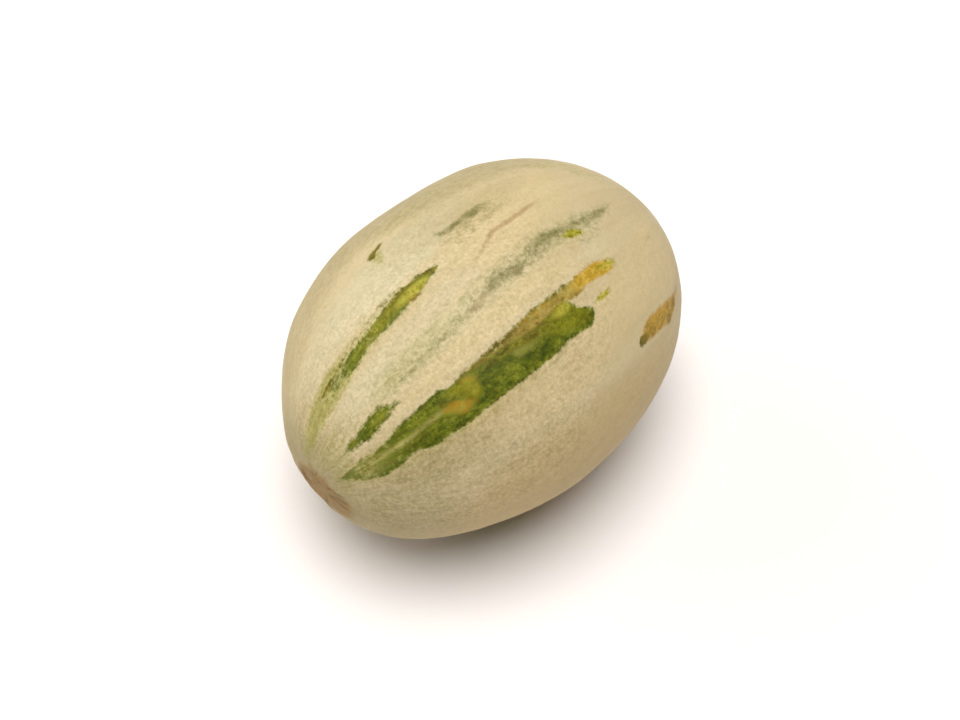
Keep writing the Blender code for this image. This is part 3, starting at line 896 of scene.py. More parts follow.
    strip("haze along the top", Pigment.HAZE, (-24, 55.6, 58.6, 0.3), (-5, 54, 57, 0.5),
          (14, 51.6, 55, 0.4), (24, 51, 54, 0.1), edge_width=3.4),
    strip("haze by the blossom end", Pigment.HAZE, (-77, 90, 160, 0.5), (-70, 92, 124, 0.4),
          (-62, 94, 118, 0.25), (-54, 96, 110, 0.05), edge_width=8),
    strip("peach wash over the crease", Pigment.PEACH, (-14, 79, 96, 0.3), (0, 78, 97, 0.8),
          (14, 78, 96, 0.8), (30, 76, 94, 0.6), (44, 60, 90, 0.4), edge_width=8),
    strip("peach wash by the main streak", Pigment.PEACH, (-58, 113, 117, 0.4), (-30, 108, 116, 0.8),
          (0, 106.5, 114.5, 0.9), (20, 108, 114, 0.5), edge_width=5),
    strip("peach wash under the main streak", Pigment.PEACH, (-44, 136, 146, 0.4), (-10, 134, 148, 0.8),
          (30, 122, 142, 0.9), (62, 110, 150, 0.7), edge_width=9),
    strip("pale wash above the left streak", Pigment.PALE, (-70, 56, 78, 0.5), (-50, 60, 79, 0.7),
          (-30, 62, 81, 0.9), (-12, 64, 81, 0.8), (8, 66, 75, 0.4), (24, 68, 74, 0.1), edge_width=8),
    strip("pale wash under the left streak", Pigment.PALE, (-72, 92, 108, 0.4), (-58, 91, 105, 0.7),
          (-44, 91, 101, 0.6), (-24, 91, 97, 0.4), (-12, 90, 95, 0.2), edge_width=6),
    strip("pale wash by the faint streak's end", Pigment.PALE, (16, 107, 114, 0.22), (26, 107, 116, 0.49),
          (34, 94, 116, 0.43), (46, 92, 100, 0.22), edge_width=6),
    strip("tan band under the main streak", Pigment.TAN, (-62, 131, 139, 0.3), (-50, 130.6, 138, 0.6),
          (-38, 130.4, 137, 0.6), (-20, 129, 135, 0.5), (0, 128.4, 134, 0.4), (12, 129, 133, 0.2),
          edge_width=4.5),
    strip("tan end", Pigment.TAN, (26, 126, 170, 0.05), (42, 118, 176, 0.23), (58, 100, 180, 0.34),
          (70, 60, 200, 0.36), edge_width=16),
    # Partly painted shade: the lower side by the blossom end made darker, over some of the skin's own dun.
    strip("dull band by the blossom end with painted shade", Pigment.DUN_AND_SHADE, (-72, 132, 152, 0.33), (-62, 131, 151, 0.69),
          (-52, 130.4, 150, 0.69), (-43, 130.4, 148, 0.6), (-34, 129.6, 145, 0.38), (-24, 129, 140, 0.14),
          edge_width=8),
    # Painted shade: the underside, from turn 152 round to 330, made darker and warmer, over some of the
    # skin's own tan.
    strip("tan belly with painted shade", Pigment.TAN, (-66, 172, 300, 0.4), (-40, 154, 320, 0.75), (0, 152, 330, 0.8),
          (34, 156, 330, 0.7), (66, 170, 300, 0.3), edge_width=22),
    # The blossom end's own khaki skin, made darker still as painted shade where the end turns away from the
    # light.
    strip("dun blossom end with painted shade", Pigment.DUN_AND_SHADE, (-79.2, -180, 180, 0.98), (-75.5, -180, 180, 0.92),
          (-73.5, -180, 180, 0.64), (-70, -180, 180, 0.42), (-66, -180, 180, 0.28), (-60, -180, 180, 0.1),
          edge_width=0.1),
    # Partly painted shade: the lower side by the blossom end made darker, over some of the skin's own dun.
    strip("dun side by the blossom end with painted shade", Pigment.DUN_AND_SHADE, (-76, 136, 220, 0.83), (-66, 136, 220, 0.62),
          (-56, 138, 210, 0.52), (-44, 142, 190, 0.21), edge_width=12),
    # Painted shade: the upper side by the blossom end made darker towards the edge that turns away.
    strip("painted shade on the cheek", Pigment.DUN_AND_SHADE, (-74, 40, 76, 0.18), (-66, 44, 78, 0.3), (-56, 44, 76, 0.3),
          (-44, 46, 68, 0.3), (-34, 48, 64, 0.14), edge_width=12),
    # Partly painted shade: the lower side under the main streak's root made darker, over some of the skin's
    # own dun.
    strip("dun patch under the root with painted shade", Pigment.DUN_AND_SHADE, (-56, 142, 160, 0.2), (-46, 142, 160, 0.36),
          (-36, 142, 160, 0.38), (-27, 144, 160, 0.34), (-18, 146, 158, 0.16), edge_width=8),
    strip("pale wash over the faint streak", Pigment.PALE, (-46, 93, 101, 0.3), (-34, 92, 100.6, 0.52),
          (-22, 91, 99, 0.52), (-8, 91, 98, 0.46), (4, 90.5, 97, 0.2), edge_width=5),
    # Painted shade on the underside, made darker over some of the skin's own dun.
    strip("dun belly with painted shade", Pigment.DUN_AND_SHADE, (-30, 146, 196, 0.15), (-18, 143, 196, 0.32), (-6, 143, 196, 0.24),
          (8, 150, 196, 0.13), edge_width=9),
    strip("dun band over the dull streak", Pigment.DUN_AND_SHADE, (-44, 56, 74, 0.08), (-34, 56, 74, 0.26),
          (-20, 60, 78, 0.42), (0, 62, 86, 0.46), (20, 62, 86, 0.38), (36, 60, 84, 0.22), edge_width=12),
    # Painted shade: the upper side made darker towards the edge that turns away, along the whole fruit.
    strip("painted shade on the shoulder", Pigment.DUN_AND_SHADE, (-74, 30, 66, 0.3), (-66, 24, 66, 0.42), (-52, 20, 60, 0.5),
          (-30, 20, 55, 0.66), (0, 16, 66, 0.72), (30, 10, 70, 0.66), (52, 4, 70, 0.5), (64, 0, 60, 0.4),
          edge_width=16),
    strip("close stipple", Pigment.STIPPLE, (-78, 60, 190, 0.8), (-56, 66, 180, 1), (-20, 76, 168, 1),
          (4, 86, 150, 0.9), (22, 92, 136, 0.4), (34, 98, 128, 0.1), edge_width=22),
)


@dataclass(frozen=True)
class FarStreak:
    """A streak on the side that faces away, tapered and wavering by a rule, with seeded draws."""

    name: str
    pigment: Pigment
    start: float
    end: float
    turn: float
    width: float  # degrees
    cover: float = 1.0
    edge_width: float = 1.8  # millimetres
    steps: int = 9
    tips: Span = (0.02, 0.98)  # where along it the taper stops, so that both tips keep a little width
    bluntness: float = 0.45  # the smaller, the blunter
    wander: float = 0.22  # how far the middle strays, times the width
    stray: float = 0.5  # the spread of the draws that move it from step to step
    half_widths: Span = (0.72, 1.15)  # the range of the draws, times the plain taper
    covers: Span = (0.75, 1.0)

    def mark(self, draw: np.random.Generator) -> Mark:
        """Draws the streak's edges at a few steps along it.

        Args:
            draw: where the draws come from.

        Returns:
            The streak as a mark.
        """
        share = np.linspace(0, 1, self.steps)
        along = self.start + (self.end - self.start) * share
        half = self.width / 2 * np.sin(math.pi * np.clip(share, *self.tips)) ** self.bluntness
        middle = self.turn + self.width * self.wander * np.cumsum(draw.normal(0, self.stray, self.steps))
        upper = middle - half * draw.uniform(*self.half_widths, self.steps)
        lower = middle + half * draw.uniform(*self.half_widths, self.steps)
        cover = self.cover * draw.uniform(*self.covers, self.steps)
        rows = (tuple(map(float, row)) for row in zip(along, upper, lower, cover))
        return strip(self.name, self.pigment, *rows, edge_width=self.edge_width)


# The streaks of the side that faces away. Each has its start and end in millimetres along, its turn and its
# width in degrees.
FAR_STREAKS = (
    FarStreak("low streak", Pigment.LEAF_GREEN, -66, -18, 212, 6.5),
    FarStreak("low streak's heart", Pigment.LIME, -40, -22, 212, 3, cover=0.8),
    FarStreak("low streak's rim", Pigment.RIM, -50, -20, 214.6, 1.8, cover=0.7),
    FarStreak("low faint streak", Pigment.GREY_OLIVE, -44, 30, 196, 4.4, cover=0.5, edge_width=4),
    FarStreak("under streak", Pigment.LEAF_GREEN, -70, 6, 238, 8.5),
    FarStreak("under streak's ochre", Pigment.OCHRE, -12, 12, 238, 5, cover=0.9),
    FarStreak("under streak's heart", Pigment.MOSS, -34, -14, 239, 4, cover=0.7),
    FarStreak("under flecks", Pigment.OCHRE, 22, 44, 229, 4, cover=0.8),
    FarStreak("ground side streak", Pigment.GREY_OLIVE, 4, 52, 262, 4, cover=0.55, edge_width=4),
    FarStreak("back low streak", Pigment.LEAF_GREEN, -62, -30, 300, 5),
    FarStreak("back low streak's heart", Pigment.LIME, -56, -34, 300, 2.6, cover=0.6),
    FarStreak("back long streak", Pigment.LEAF_GREEN, -70, 24, 328, 9),
    FarStreak("back long streak's split", Pigment.SPLIT, -66, -36, 328, 3, cover=0.7),
    FarStreak("back long streak's ochre", Pigment.OCHRE, 2, 30, 326, 6, cover=0.95),
    FarStreak("back long streak's heart", Pigment.MOSS, -18, 6, 328, 4.5, cover=0.75),
    FarStreak("back long streak's rim", Pigment.RIM, -40, 12, 332, 1.8, cover=0.7),
    FarStreak("back ochre streak", Pigment.OCHRE, 20, 50, 308, 5.5, cover=0.9),
    FarStreak("back ochre streak's tip", Pigment.RIM, 18, 24, 308, 3.4, cover=0.9),
    FarStreak("back faint streak", Pigment.GREY_OLIVE, -40, 44, 349, 5, cover=0.55, edge_width=4),
    FarStreak("shoulder streak", Pigment.LEAF_GREEN, -58, -6, 12, 5.2),
    FarStreak("shoulder streak's heart", Pigment.LIME, -26, -8, 12, 3, cover=0.8),
    FarStreak("shoulder fleck", Pigment.OLIVE, 14, 24, 6, 2.6, cover=0.9),
    FarStreak("top back faint streak", Pigment.GREY_OLIVE, -20, 40, 27, 4, cover=0.5, edge_width=4),
    FarStreak("back crease", Pigment.CREASE, -30, 16, 290, 1.2, cover=0.8),
    FarStreak("back peach band", Pigment.PEACH, -60, 60, 316, 14, cover=0.7, edge_width=6),
    FarStreak("back pale band", Pigment.PALE, -60, 50, 340, 12, cover=0.7, edge_width=6),
    FarStreak("shoulder peach band", Pigment.PEACH, -50, 60, 20, 12, cover=0.6, edge_width=6),
    FarStreak("low peach band", Pigment.PEACH, -60, 60, 222, 16, cover=0.6, edge_width=7),
    FarStreak("back stipple", Pigment.STIPPLE, -70, 10, 330, 60, cover=0.9, edge_width=20),
)


class Sheet:
    """The nodes of a material or of the room, laid out and joined as the recipe asks for them."""

    # The Mix node has sockets of the same name for each kind of value. These are the places of the colours.
    MIX_SHARE, MIX_FIRST, MIX_SECOND, MIX_RESULT = 0, 6, 7, 2
    ROWS, COLUMN_WIDTH, ROW_HEIGHT = 8, 220, 190

    def __init__(self, tree: bpy.types.NodeTree) -> None:
        """Empties the tree, and keeps it for the nodes to come.

        Args:
            tree: the tree of a material or of the room.
        """
        self.tree = tree
        self.tree.nodes.clear()
        self.count = 0

    def node(self, kind: str, **settings: object) -> bpy.types.Node:
        """Adds a node under the last one, or at the top of the next column.

        Args:
            kind: what kind of node it is.
            settings: the node's own settings, by name.

        Returns:
            The node.
        """
        node = self.tree.nodes.new(kind)
        for name, value in settings.items():
            setattr(node, name, value)
        column, row = divmod(self.count, self.ROWS)
        node.location = (column * self.COLUMN_WIDTH, -row * self.ROW_HEIGHT)
        self.count += 1
        return node

    def feed(self, socket: Socket, value: object) -> None:
        """Joins a socket to another one's output, or sets it to a plain value.

        Args:
            socket: the socket to feed.
            value: an output, a number, a colour or three numbers.
        """
        if isinstance(value, Socket):
            self.tree.links.new(value, socket)
        elif isinstance(value, tuple) and len(value) == 3 and socket.type == "RGBA":
            socket.default_value = (*value, 1.0)
        else:
            socket.default_value = value

    def fed(self, kind: str, inputs: dict[str, object]) -> bpy.types.Node:
        """Adds a node and feeds its sockets.

        Args:
            kind: what kind of node it is.
            inputs: what each socket takes, by the socket's name.

        Returns:
            The node.
        """
        node = self.node(kind)
        for name, value in inputs.items():
            self.feed(node.inputs[name], value)
        return node

    def field(self, name: str) -> Socket:
        """A number that the skin's mesh holds at each of its points."""
        return self.node("ShaderNodeAttribute", attribute_name=name).outputs["Fac"]

    def maths(self, operation: str, first: object, second: object, clamp: bool = False) -> Socket:
        """One sum of two numbers.

        Args:
            operation: what is done with them.
            first: the first number.
            second: the second number.
            clamp: whether the answer is held between 0 and 1.

        Returns:
            The answer.
        """
        node = self.node("ShaderNodeMath", operation=operation, use_clamp=clamp)
        self.feed(node.inputs[0], first)
        self.feed(node.inputs[1], second)
        return node.outputs[0]

    def weighed(self, *parts: tuple[Socket, float]) -> Socket:
        """Adds up a few numbers, each times its weight.

        Args:
            parts: each number with its weight.

        Returns:
            The sum of them.
        """
        total, *others = (self.maths("MULTIPLY", number, weight) for number, weight in parts)
        for other in others:
            total = self.maths("ADD", total, other)
        return total

    def spread(self, value: object, stretch: Span, to: Span = (0.0, 1.0), smooth: bool = False) -> Socket:
        """Spreads one stretch of a number over another range, held level beyond it.

        Args:
            value: the number.
            stretch: the lowest and the highest value that are told apart.
            to: what those two become.
            smooth: whether the way between them runs out softly at both ends.

        Returns:
            The new number.
        """
        node = self.node("ShaderNodeMapRange", interpolation_type="SMOOTHSTEP" if smooth else "LINEAR")
        for socket, number in zip(node.inputs, (value, *stretch, *to)):
            self.feed(socket, number)
        return node.outputs["Result"]

    def stretched(self, place: Socket, scale: tuple[float, float, float]) -> Socket:
        """A place drawn out or squeezed along each axis.

        Args:
            place: the place.
            scale: how many times along each axis.

        Returns:
            The new place.
        """
        node = self.node("ShaderNodeVectorMath", operation="MULTIPLY")
        self.feed(node.inputs[0], place)
        self.feed(node.inputs[1], scale)
        return node.outputs["Vector"]

    def mix(self, share: object, first: object, second: object, blend: str = "MIX") -> Socket:
        """Lays one colour over another.

        Args:
            share: how much of the second colour shows, from 0 to 1.
            first: the colour under it.
            second: the colour on top.
            blend: how the second colour changes the first.

        Returns:
            The new colour.
        """
        node = self.node("ShaderNodeMix", data_type="RGBA", blend_type=blend, clamp_factor=True)
        self.feed(node.inputs[self.MIX_SHARE], share)
        self.feed(node.inputs[self.MIX_FIRST], first)
        self.feed(node.inputs[self.MIX_SECOND], second)
        return node.outputs[self.MIX_RESULT]


@dataclass(frozen=True)
class Clouds:
    """Soft cloudy noise of one size, and the middle stretch of it that is spread from 0 to 1."""

    size: float
    detail: float
    roughness: float = 0.5
    along: float = 1.0  # below 1 draws the clouds out along the fruit
    stretch: Span = (0.3, 0.7)

    def lay(self, sheet: Sheet, place: Socket) -> Socket:
        """Lays the clouds over the skin.

        Args:
            sheet: the skin's material.
            place: the place of each point, in metres.

        Returns:
            The noise, from 0 to 1 and mostly near the middle.
        """
        if self.along != 1.0:
            place = sheet.stretched(place, (self.along, 1, 1))
        inputs = {"Vector": place, "Scale": 1 / self.size, "Detail": self.detail, "Roughness": self.roughness}
        return sheet.fed("ShaderNodeTexNoise", inputs).outputs["Fac"]


@dataclass(frozen=True)
class PigmentCoat:
    """How one pigment lies on the skin: its two colours, and how it breaks up into specks at its edges."""

    pigment: Pigment
    colour: Colour
    second_colour: Colour
    strength: float
    raggedness: float  # how much a thin cover breaks up into specks, from 0 to 1
    softness: float  # how softly each speck ends

    def lay(self, sheet: Sheet, skin: Socket, specks: Socket, mottle: Socket) -> tuple[Socket, Socket]:
        """Lays the pigment over the skin's colour.

        Args:
            sheet: the skin's material.
            skin: the colour so far.
            specks: noise from 0 to 1 that decides which specks take the pigment.
            mottle: noise from 0 to 1 that moves the colour between the pigment's two.

        Returns:
            The new colour, and the share of it that is pigment.
        """
        presence = sheet.maths("MULTIPLY", sheet.field(self.pigment.value), 1.0 + self.softness)
        reach = self.raggedness / 2
        threshold = sheet.spread(specks, (0.0, 1.0), (0.5 - reach, 0.5 + reach))
        share = sheet.maths("SUBTRACT", presence, threshold)
        share = sheet.spread(share, (0.0, self.softness), (0.0, self.strength))
        colour = sheet.mix(mottle, self.colour, self.second_colour)
        return sheet.mix(share, skin, colour), share


@dataclass(frozen=True)
class SkinFinish:
    """The fruit's skin: pale cream with soft bands and fine flecks, streaked with green and ochre."""

    cream: Colour = (0.555, 0.450, 0.250)
    buff: Colour = (0.515, 0.405, 0.215)
    bands: Clouds = Clouds(11 * MM, detail=3.0, along=0.1, stretch=(0.38, 0.62))
    grain: Clouds = Clouds(1.25 * MM, detail=2.0, roughness=0.8)
    ragged: Clouds = Clouds(2.3 * MM, detail=2.0, roughness=0.6, along=0.7, stretch=(0.32, 0.68))
    blotches: Clouds = Clouds(4.2 * MM, detail=3.0, roughness=0.6, along=0.5, stretch=(0.35, 0.65))
    speck_weights: tuple[float, float] = (0.5, 0.5)  # of the grain and the ragged clouds
    speck_stretch: Span = (0.15, 0.85)
    mottle_weights: tuple[float, float] = (0.75, 0.25)  # of the specks and the blotches
    mottle_stretch: Span = (0.12, 0.88)
    fleck_weights: tuple[float, float, float] = (0.62, 0.2, 0.18)  # of the grain, ragged clouds and blotches
    light_fleck: Colour = (1.25, 1.26, 1.34)  # times the colour under it
    dark_fleck: Colour = (0.76, 0.75, 0.67)
    least_flecked: float = 0.35  # how much of the flecks shows on the plainest skin
    cork: Colour = (0.325, 0.190, 0.068)
    cork_fold: Colour = (0.160, 0.066, 0.005)
    cork_clouds: Clouds = Clouds(1.6 * MM, detail=3.0, roughness=0.65)
    cork_mottle: Span = (-0.35, 0.45)  # how far the clouds move the cork towards the colour of its folds
    cork_fold_stretch: Span = (0.0, 1.1)
    cork_fray_stretch: Span = (0.3, 0.7)  # of the ragged clouds
    cork_fray: Span = (-0.45, 0.3)  # how far they move the cork's edge
    cork_edge_stretch: Span = (0.05, 1.2)
    cork_cover: float = 0.9
    roughness: Span = (0.53, 0.64)  # of the darkest and the lightest grain
    green_gloss: float = 0.05
    cork_dullness: float = 0.2
    relief_strength: float = 0.4
    relief_height: float = 0.15 * MM
    gloss: float = 0.22
    flesh_glow: float = 0.04
    flesh_reach: tuple[float, float, float] = (1.0, 0.6, 0.25)  # of red, green and blue, times the depth
    flesh_depth: float = 1.2 * MM
    # Each coat's two colours, then its strength, raggedness and softness, from the lowest coat to the top one
    coats: tuple[PigmentCoat, ...] = (
        PigmentCoat(Pigment.PALE, (0.550, 0.475, 0.290), (0.585, 0.500, 0.310), 0.8, 0.2, 1.0),
        PigmentCoat(Pigment.PEACH, (0.555, 0.437, 0.225), (0.590, 0.462, 0.245), 0.8, 0.2, 1.0),
        # The tan and dun coats are the skin's own tone and also painted shade, where their marks darken the
        # underside, the upper edge and the blossom end.
        PigmentCoat(Pigment.TAN, (0.495, 0.368, 0.172), (0.525, 0.395, 0.190), 0.9, 0.2, 1.0),
        PigmentCoat(Pigment.DUN_AND_SHADE, (0.350, 0.280, 0.120), (0.400, 0.325, 0.160), 0.85, 0.3, 1.0),
        PigmentCoat(Pigment.HAZE, (0.300, 0.265, 0.055), (0.390, 0.345, 0.110), 0.9, 0.4, 1.0),
        PigmentCoat(Pigment.FRINGE, (0.290, 0.290, 0.090), (0.400, 0.385, 0.175), 0.6, 0.5, 1.0),
        PigmentCoat(Pigment.GREY_OLIVE, (0.150, 0.140, 0.035), (0.220, 0.195, 0.068), 0.9, 0.45, 1.0),
        PigmentCoat(Pigment.CREASE, (0.385, 0.260, 0.118), (0.415, 0.285, 0.135), 0.85, 0.3, 1.0),
        PigmentCoat(Pigment.AMBER, (0.425, 0.214, 0.010), (0.490, 0.276, 0.036), 0.95, 0.35, 1.0),
        PigmentCoat(Pigment.LEAF_GREEN, (0.056, 0.074, 0.000), (0.168, 0.182, 0.010), 1.0, 0.75, 0.9),
        PigmentCoat(Pigment.DEEP_GREEN, (0.042, 0.058, 0.000), (0.100, 0.115, 0.001), 0.8, 0.8, 1.0),
        PigmentCoat(Pigment.MOSS, (0.100, 0.100, 0.001), (0.270, 0.242, 0.006), 0.95, 0.95, 0.9),
        PigmentCoat(Pigment.OLIVE, (0.080, 0.062, 0.001), (0.215, 0.170, 0.006), 1.0, 0.7, 0.9),
        PigmentCoat(Pigment.SPLIT, (0.175, 0.158, 0.010), (0.440, 0.395, 0.130), 1.0, 1.0, 0.8),
        PigmentCoat(Pigment.BUFF, (0.225, 0.152, 0.016), (0.385, 0.280, 0.062), 1.0, 0.6, 0.9),
        PigmentCoat(Pigment.OCHRE, (0.390, 0.218, 0.007), (0.570, 0.390, 0.060), 1.0, 0.75, 1.0),
        PigmentCoat(Pigment.LIME, (0.230, 0.205, 0.004), (0.480, 0.415, 0.058), 1.0, 0.95, 0.9),
        PigmentCoat(Pigment.RIM, (0.060, 0.047, 0.001), (0.135, 0.108, 0.003), 0.95, 0.7, 1.0),
        PigmentCoat(Pigment.BROWN, (0.170, 0.103, 0.001), (0.275, 0.178, 0.014), 0.9, 0.7, 1.0),
    )

    def material(self) -> bpy.types.Material:
        """Makes the skin's material.

        Returns:
            A material for the fruit's whole skin, both scars with it.
        """
        material = bpy.data.materials.new("muskmelon_skin")
        material.use_nodes = True
        sheet = Sheet(material.node_tree)
        place = sheet.node("ShaderNodeTexCoord").outputs["Object"]
        lengthwise = sheet.node("ShaderNodeAttribute", attribute_name="lengthwise").outputs["Vector"]

        bands = sheet.spread(self.bands.lay(sheet, lengthwise), self.bands.stretch, smooth=True)
        grain, cork_noise = self.grain.lay(sheet, place), self.cork_clouds.lay(sheet, place)
        ragged = self.ragged.lay(sheet, lengthwise)
        fine = sheet.spread(grain, self.grain.stretch)
        coarse = sheet.spread(ragged, self.ragged.stretch)
        blotch = sheet.spread(self.blotches.lay(sheet, lengthwise), self.blotches.stretch)

        cream = sheet.mix(bands, self.cream, self.buff)
        painted, green = self._painted(sheet, cream, fine, coarse, blotch)
        flecked = self._flecked(sheet, painted, green, fine, coarse, blotch)
        corky = self._corky(sheet, ragged)
        height = sheet.maths("ADD", grain, sheet.maths("MULTIPLY", corky, cork_noise))
        relief = sheet.fed("ShaderNodeBump", {
            "Height": height, "Strength": self.relief_strength, "Distance": self.relief_height})
        shader = sheet.fed("ShaderNodeBsdfPrincipled", {
            "Base Color": sheet.mix(corky, flecked, self._cork_colour(sheet, cork_noise)),
            "Roughness": self._dullness(sheet, fine, green, corky),
            "Normal": relief.outputs["Normal"],
            "Specular IOR Level": self.gloss,
            "Subsurface Weight": self.flesh_glow,
            "Subsurface Radius": self.flesh_reach,
            "Subsurface Scale": self.flesh_depth,
        })
        sheet.fed("ShaderNodeOutputMaterial", {"Surface": shader.outputs["BSDF"]})
        return material

    def _painted(self, sheet: Sheet, skin: Socket, *noises: Socket) -> tuple[Socket, Socket]:
        """Lays every pigment over the cream skin, in order.

        Args:
            sheet: the skin's material.
            skin: the cream skin's colour.
            noises: the grain, the ragged clouds and the blotches, each spread from 0 to 1.

        Returns:
            The painted colour, and the share of it that is leaf green.
        """
        fine, coarse, blotch = noises
        specks = sheet.weighed(*zip((fine, coarse), self.speck_weights))
        specks = sheet.spread(specks, self.speck_stretch)
        mottle = sheet.weighed(*zip((specks, blotch), self.mottle_weights))
        mottle = sheet.spread(mottle, self.mottle_stretch)
        shares = {}
        for coat in self.coats:
            skin, shares[coat.pigment] = coat.lay(sheet, skin, specks, mottle)
        return skin, shares[Pigment.LEAF_GREEN]

    def _flecked(self, sheet: Sheet, skin: Socket, green: Socket, *noises: Socket) -> Socket:
        """Strews light and dark flecks over the skin, most of them in the stipple and the green.

        Args:
            sheet: the skin's material.
            skin: the painted colour.
            green: the share of it that is leaf green.
            noises: the grain, the ragged clouds and the blotches, each spread from 0 to 1.

        Returns:
            The flecked colour.
        """
        most = sheet.maths("MAXIMUM", sheet.field(Pigment.STIPPLE.value), green)
        share = sheet.spread(most, (0.0, 1.0), (self.least_flecked, 1.0), smooth=True)
        fleck = sheet.mix(sheet.weighed(*zip(noises, self.fleck_weights)), self.dark_fleck, self.light_fleck)
        return sheet.mix(share, skin, sheet.mix(1.0, skin, fleck, "MULTIPLY"))

    def _corky(self, sheet: Sheet, ragged: Socket) -> Socket:
        """The share of the skin that is cork.

        Args:
            sheet: the skin's material.
            ragged: the ragged clouds, which fray the cork's edge.

        Returns:
            The cork's share, from 0 to its full cover.
        """
        fray = sheet.spread(ragged, self.cork_fray_stretch, self.cork_fray)
        share = sheet.maths("ADD", sheet.field("cork"), fray)
        return sheet.spread(share, self.cork_edge_stretch, (0.0, self.cork_cover), smooth=True)

    def _cork_colour(self, sheet: Sheet, cork_noise: Socket) -> Socket:
        """The colour of the cork, darker in its folds.

        Args:
            sheet: the skin's material.
            cork_noise: the clouds that mottle the cork.

        Returns:
            The colour.
        """
        mottle = sheet.spread(cork_noise, self.cork_clouds.stretch, self.cork_mottle)
        folded = sheet.maths("ADD", sheet.field("cork_fold"), mottle)
        return sheet.mix(sheet.spread(folded, self.cork_fold_stretch), self.cork, self.cork_fold)

    def _dullness(self, sheet: Sheet, fine: Socket, green: Socket, corky: Socket) -> Socket:
        """How rough the skin is to the light: the green a little glossier, the cork duller.

        Args:
            sheet: the skin's material.
            fine: the grain, spread from 0 to 1.
            green: the share of the skin that is leaf green.
            corky: the share of it that is cork.

        Returns:
            The roughness.
        """
        rough = sheet.spread(fine, (0.0, 1.0), self.roughness)
        rough = sheet.maths("SUBTRACT", rough, sheet.maths("MULTIPLY", green, self.green_gloss))
        return sheet.maths("ADD", rough, sheet.maths("MULTIPLY", corky, self.cork_dullness), clamp=True)


@dataclass
class Muskmelon:
    """The whole fruit: its form, its relief, its marks and its finish, made into one skin."""

    form: FruitForm = FruitForm()
    relief: SkinRelief = SkinRelief()
    finish: SkinFinish = SkinFinish()
    near_marks: tuple[Mark, ...] = NEAR_MARKS
    far_streaks: tuple[FarStreak, ...] = FAR_STREAKS
    far_seed: int = 12
    fringe_width: float = 5.0  # millimetres, how far the skin beside a green streak is tinged
    piece: bpy.types.Object = field(init=False)

    def build(self) -> bpy.types.Object:
        """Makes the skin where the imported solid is, dresses it, and lets it stand for the solid.

        Returns:
            The skin's object.
        """
        lattice = SkinLattice()
        station, turn = lattice.stations, lattice.turns
        plain = self.form.plain(station, turn)
        lengthwise = self._lengthwise(plain, turn)
        depth = self.relief.depth(self.form, plain, lengthwise, station, turn)
        skin = self.form.grown(station, turn) - self.form.outward(plain) * depth[:, None]
        skin = self.form.set_in_box(skin, *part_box(NODE))
        mesh = self._mesh(skin, lattice)
        self._hold(mesh, "lengthwise", lengthwise)
        for name, values in self._fields(station, turn).items():
            self._hold(mesh, name, values)
        mesh.materials.append(self.finish.material())
        self.piece = set_out("muskmelon_skin", mesh)
        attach(self.piece, "root")
        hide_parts(NODE)
        return self.piece

    def _lengthwise(self, plain: Places, turn: Floats) -> Places:
        """The places with every ring drawn out to full width, so that what follows them runs end to end."""
        wide = self.form.width / 2
        return np.stack([plain[:, 0], wide * np.cos(turn), wide * np.sin(turn)], axis=-1)

    def _mesh(self, skin: Places, lattice: SkinLattice) -> bpy.types.Mesh:
        """Joins the skin's points into one closed mesh, shaded smooth.

        Args:
            skin: the place of each point.
            lattice: the cells between them, and where each lies on the flat bake sheet.

        Returns:
            The mesh.
        """
        mesh = bpy.data.meshes.new("muskmelon_skin")
        mesh.from_pydata(skin.tolist(), [], lattice.quads.tolist())
        mesh.shade_smooth()
        bake_sheet = mesh.uv_layers.new(name="OFBake")
        bake_sheet.data.foreach_set("uv", lattice.bake_places.astype(np.float32).ravel())
        return mesh

    def _hold(self, mesh: bpy.types.Mesh, name: str, values: np.ndarray) -> None:
        """Keeps a number, or three, at each point of the mesh, for the material to read.

        Args:
            mesh: the skin's mesh.
            name: what the material calls them.
            values: one row for each point.
        """
        kind, key = ("FLOAT", "value") if values.ndim == 1 else ("FLOAT_VECTOR", "vector")
        attribute = mesh.attributes.new(name, kind, "POINT")
        attribute.data.foreach_set(key, values.astype(np.float32).ravel())

    def _fields(self, station: Floats, turn: Floats) -> dict[str, Floats]:
        """Works out where each pigment and the cork of both scars lie.

        Args:
            station: the station of each point of the skin.
            turn: the turn of each point, in radians.

        Returns:
            Each one's presence at each point, from 0 to 1, by the name that the material reads.
        """
        share, radius = self.form.share_along(station), self.form.plain_radius(station)
        where = (share * self.form.length / 2 / MM, np.degrees(turn), radius / MM)
        draw = np.random.default_rng(self.far_seed)
        marks = (*self.near_marks, *(streak.mark(draw) for streak in self.far_streaks))
        fields = {pigment.value: np.zeros(len(station)) for pigment in Pigment}
        fringe = fields[Pigment.FRINGE.value]
        for mark in marks:
            value = fields[mark.pigment.value]
            np.maximum(value, mark.presence(*where), out=value)
            if mark.pigment is Pigment.LEAF_GREEN:
                np.maximum(fringe, mark.presence(*where, self.fringe_width), out=fringe)
        blossom, stem = self.form.blossom_end, self.form.stem_end
        at_blossom = share < 0
        fields["cork"] = np.where(at_blossom, blossom.cork_share(radius, turn), stem.cork_share(radius, turn))
        fields["cork_fold"] = np.where(at_blossom, blossom.folds(radius, turn), stem.folds(radius, turn))
        return fields


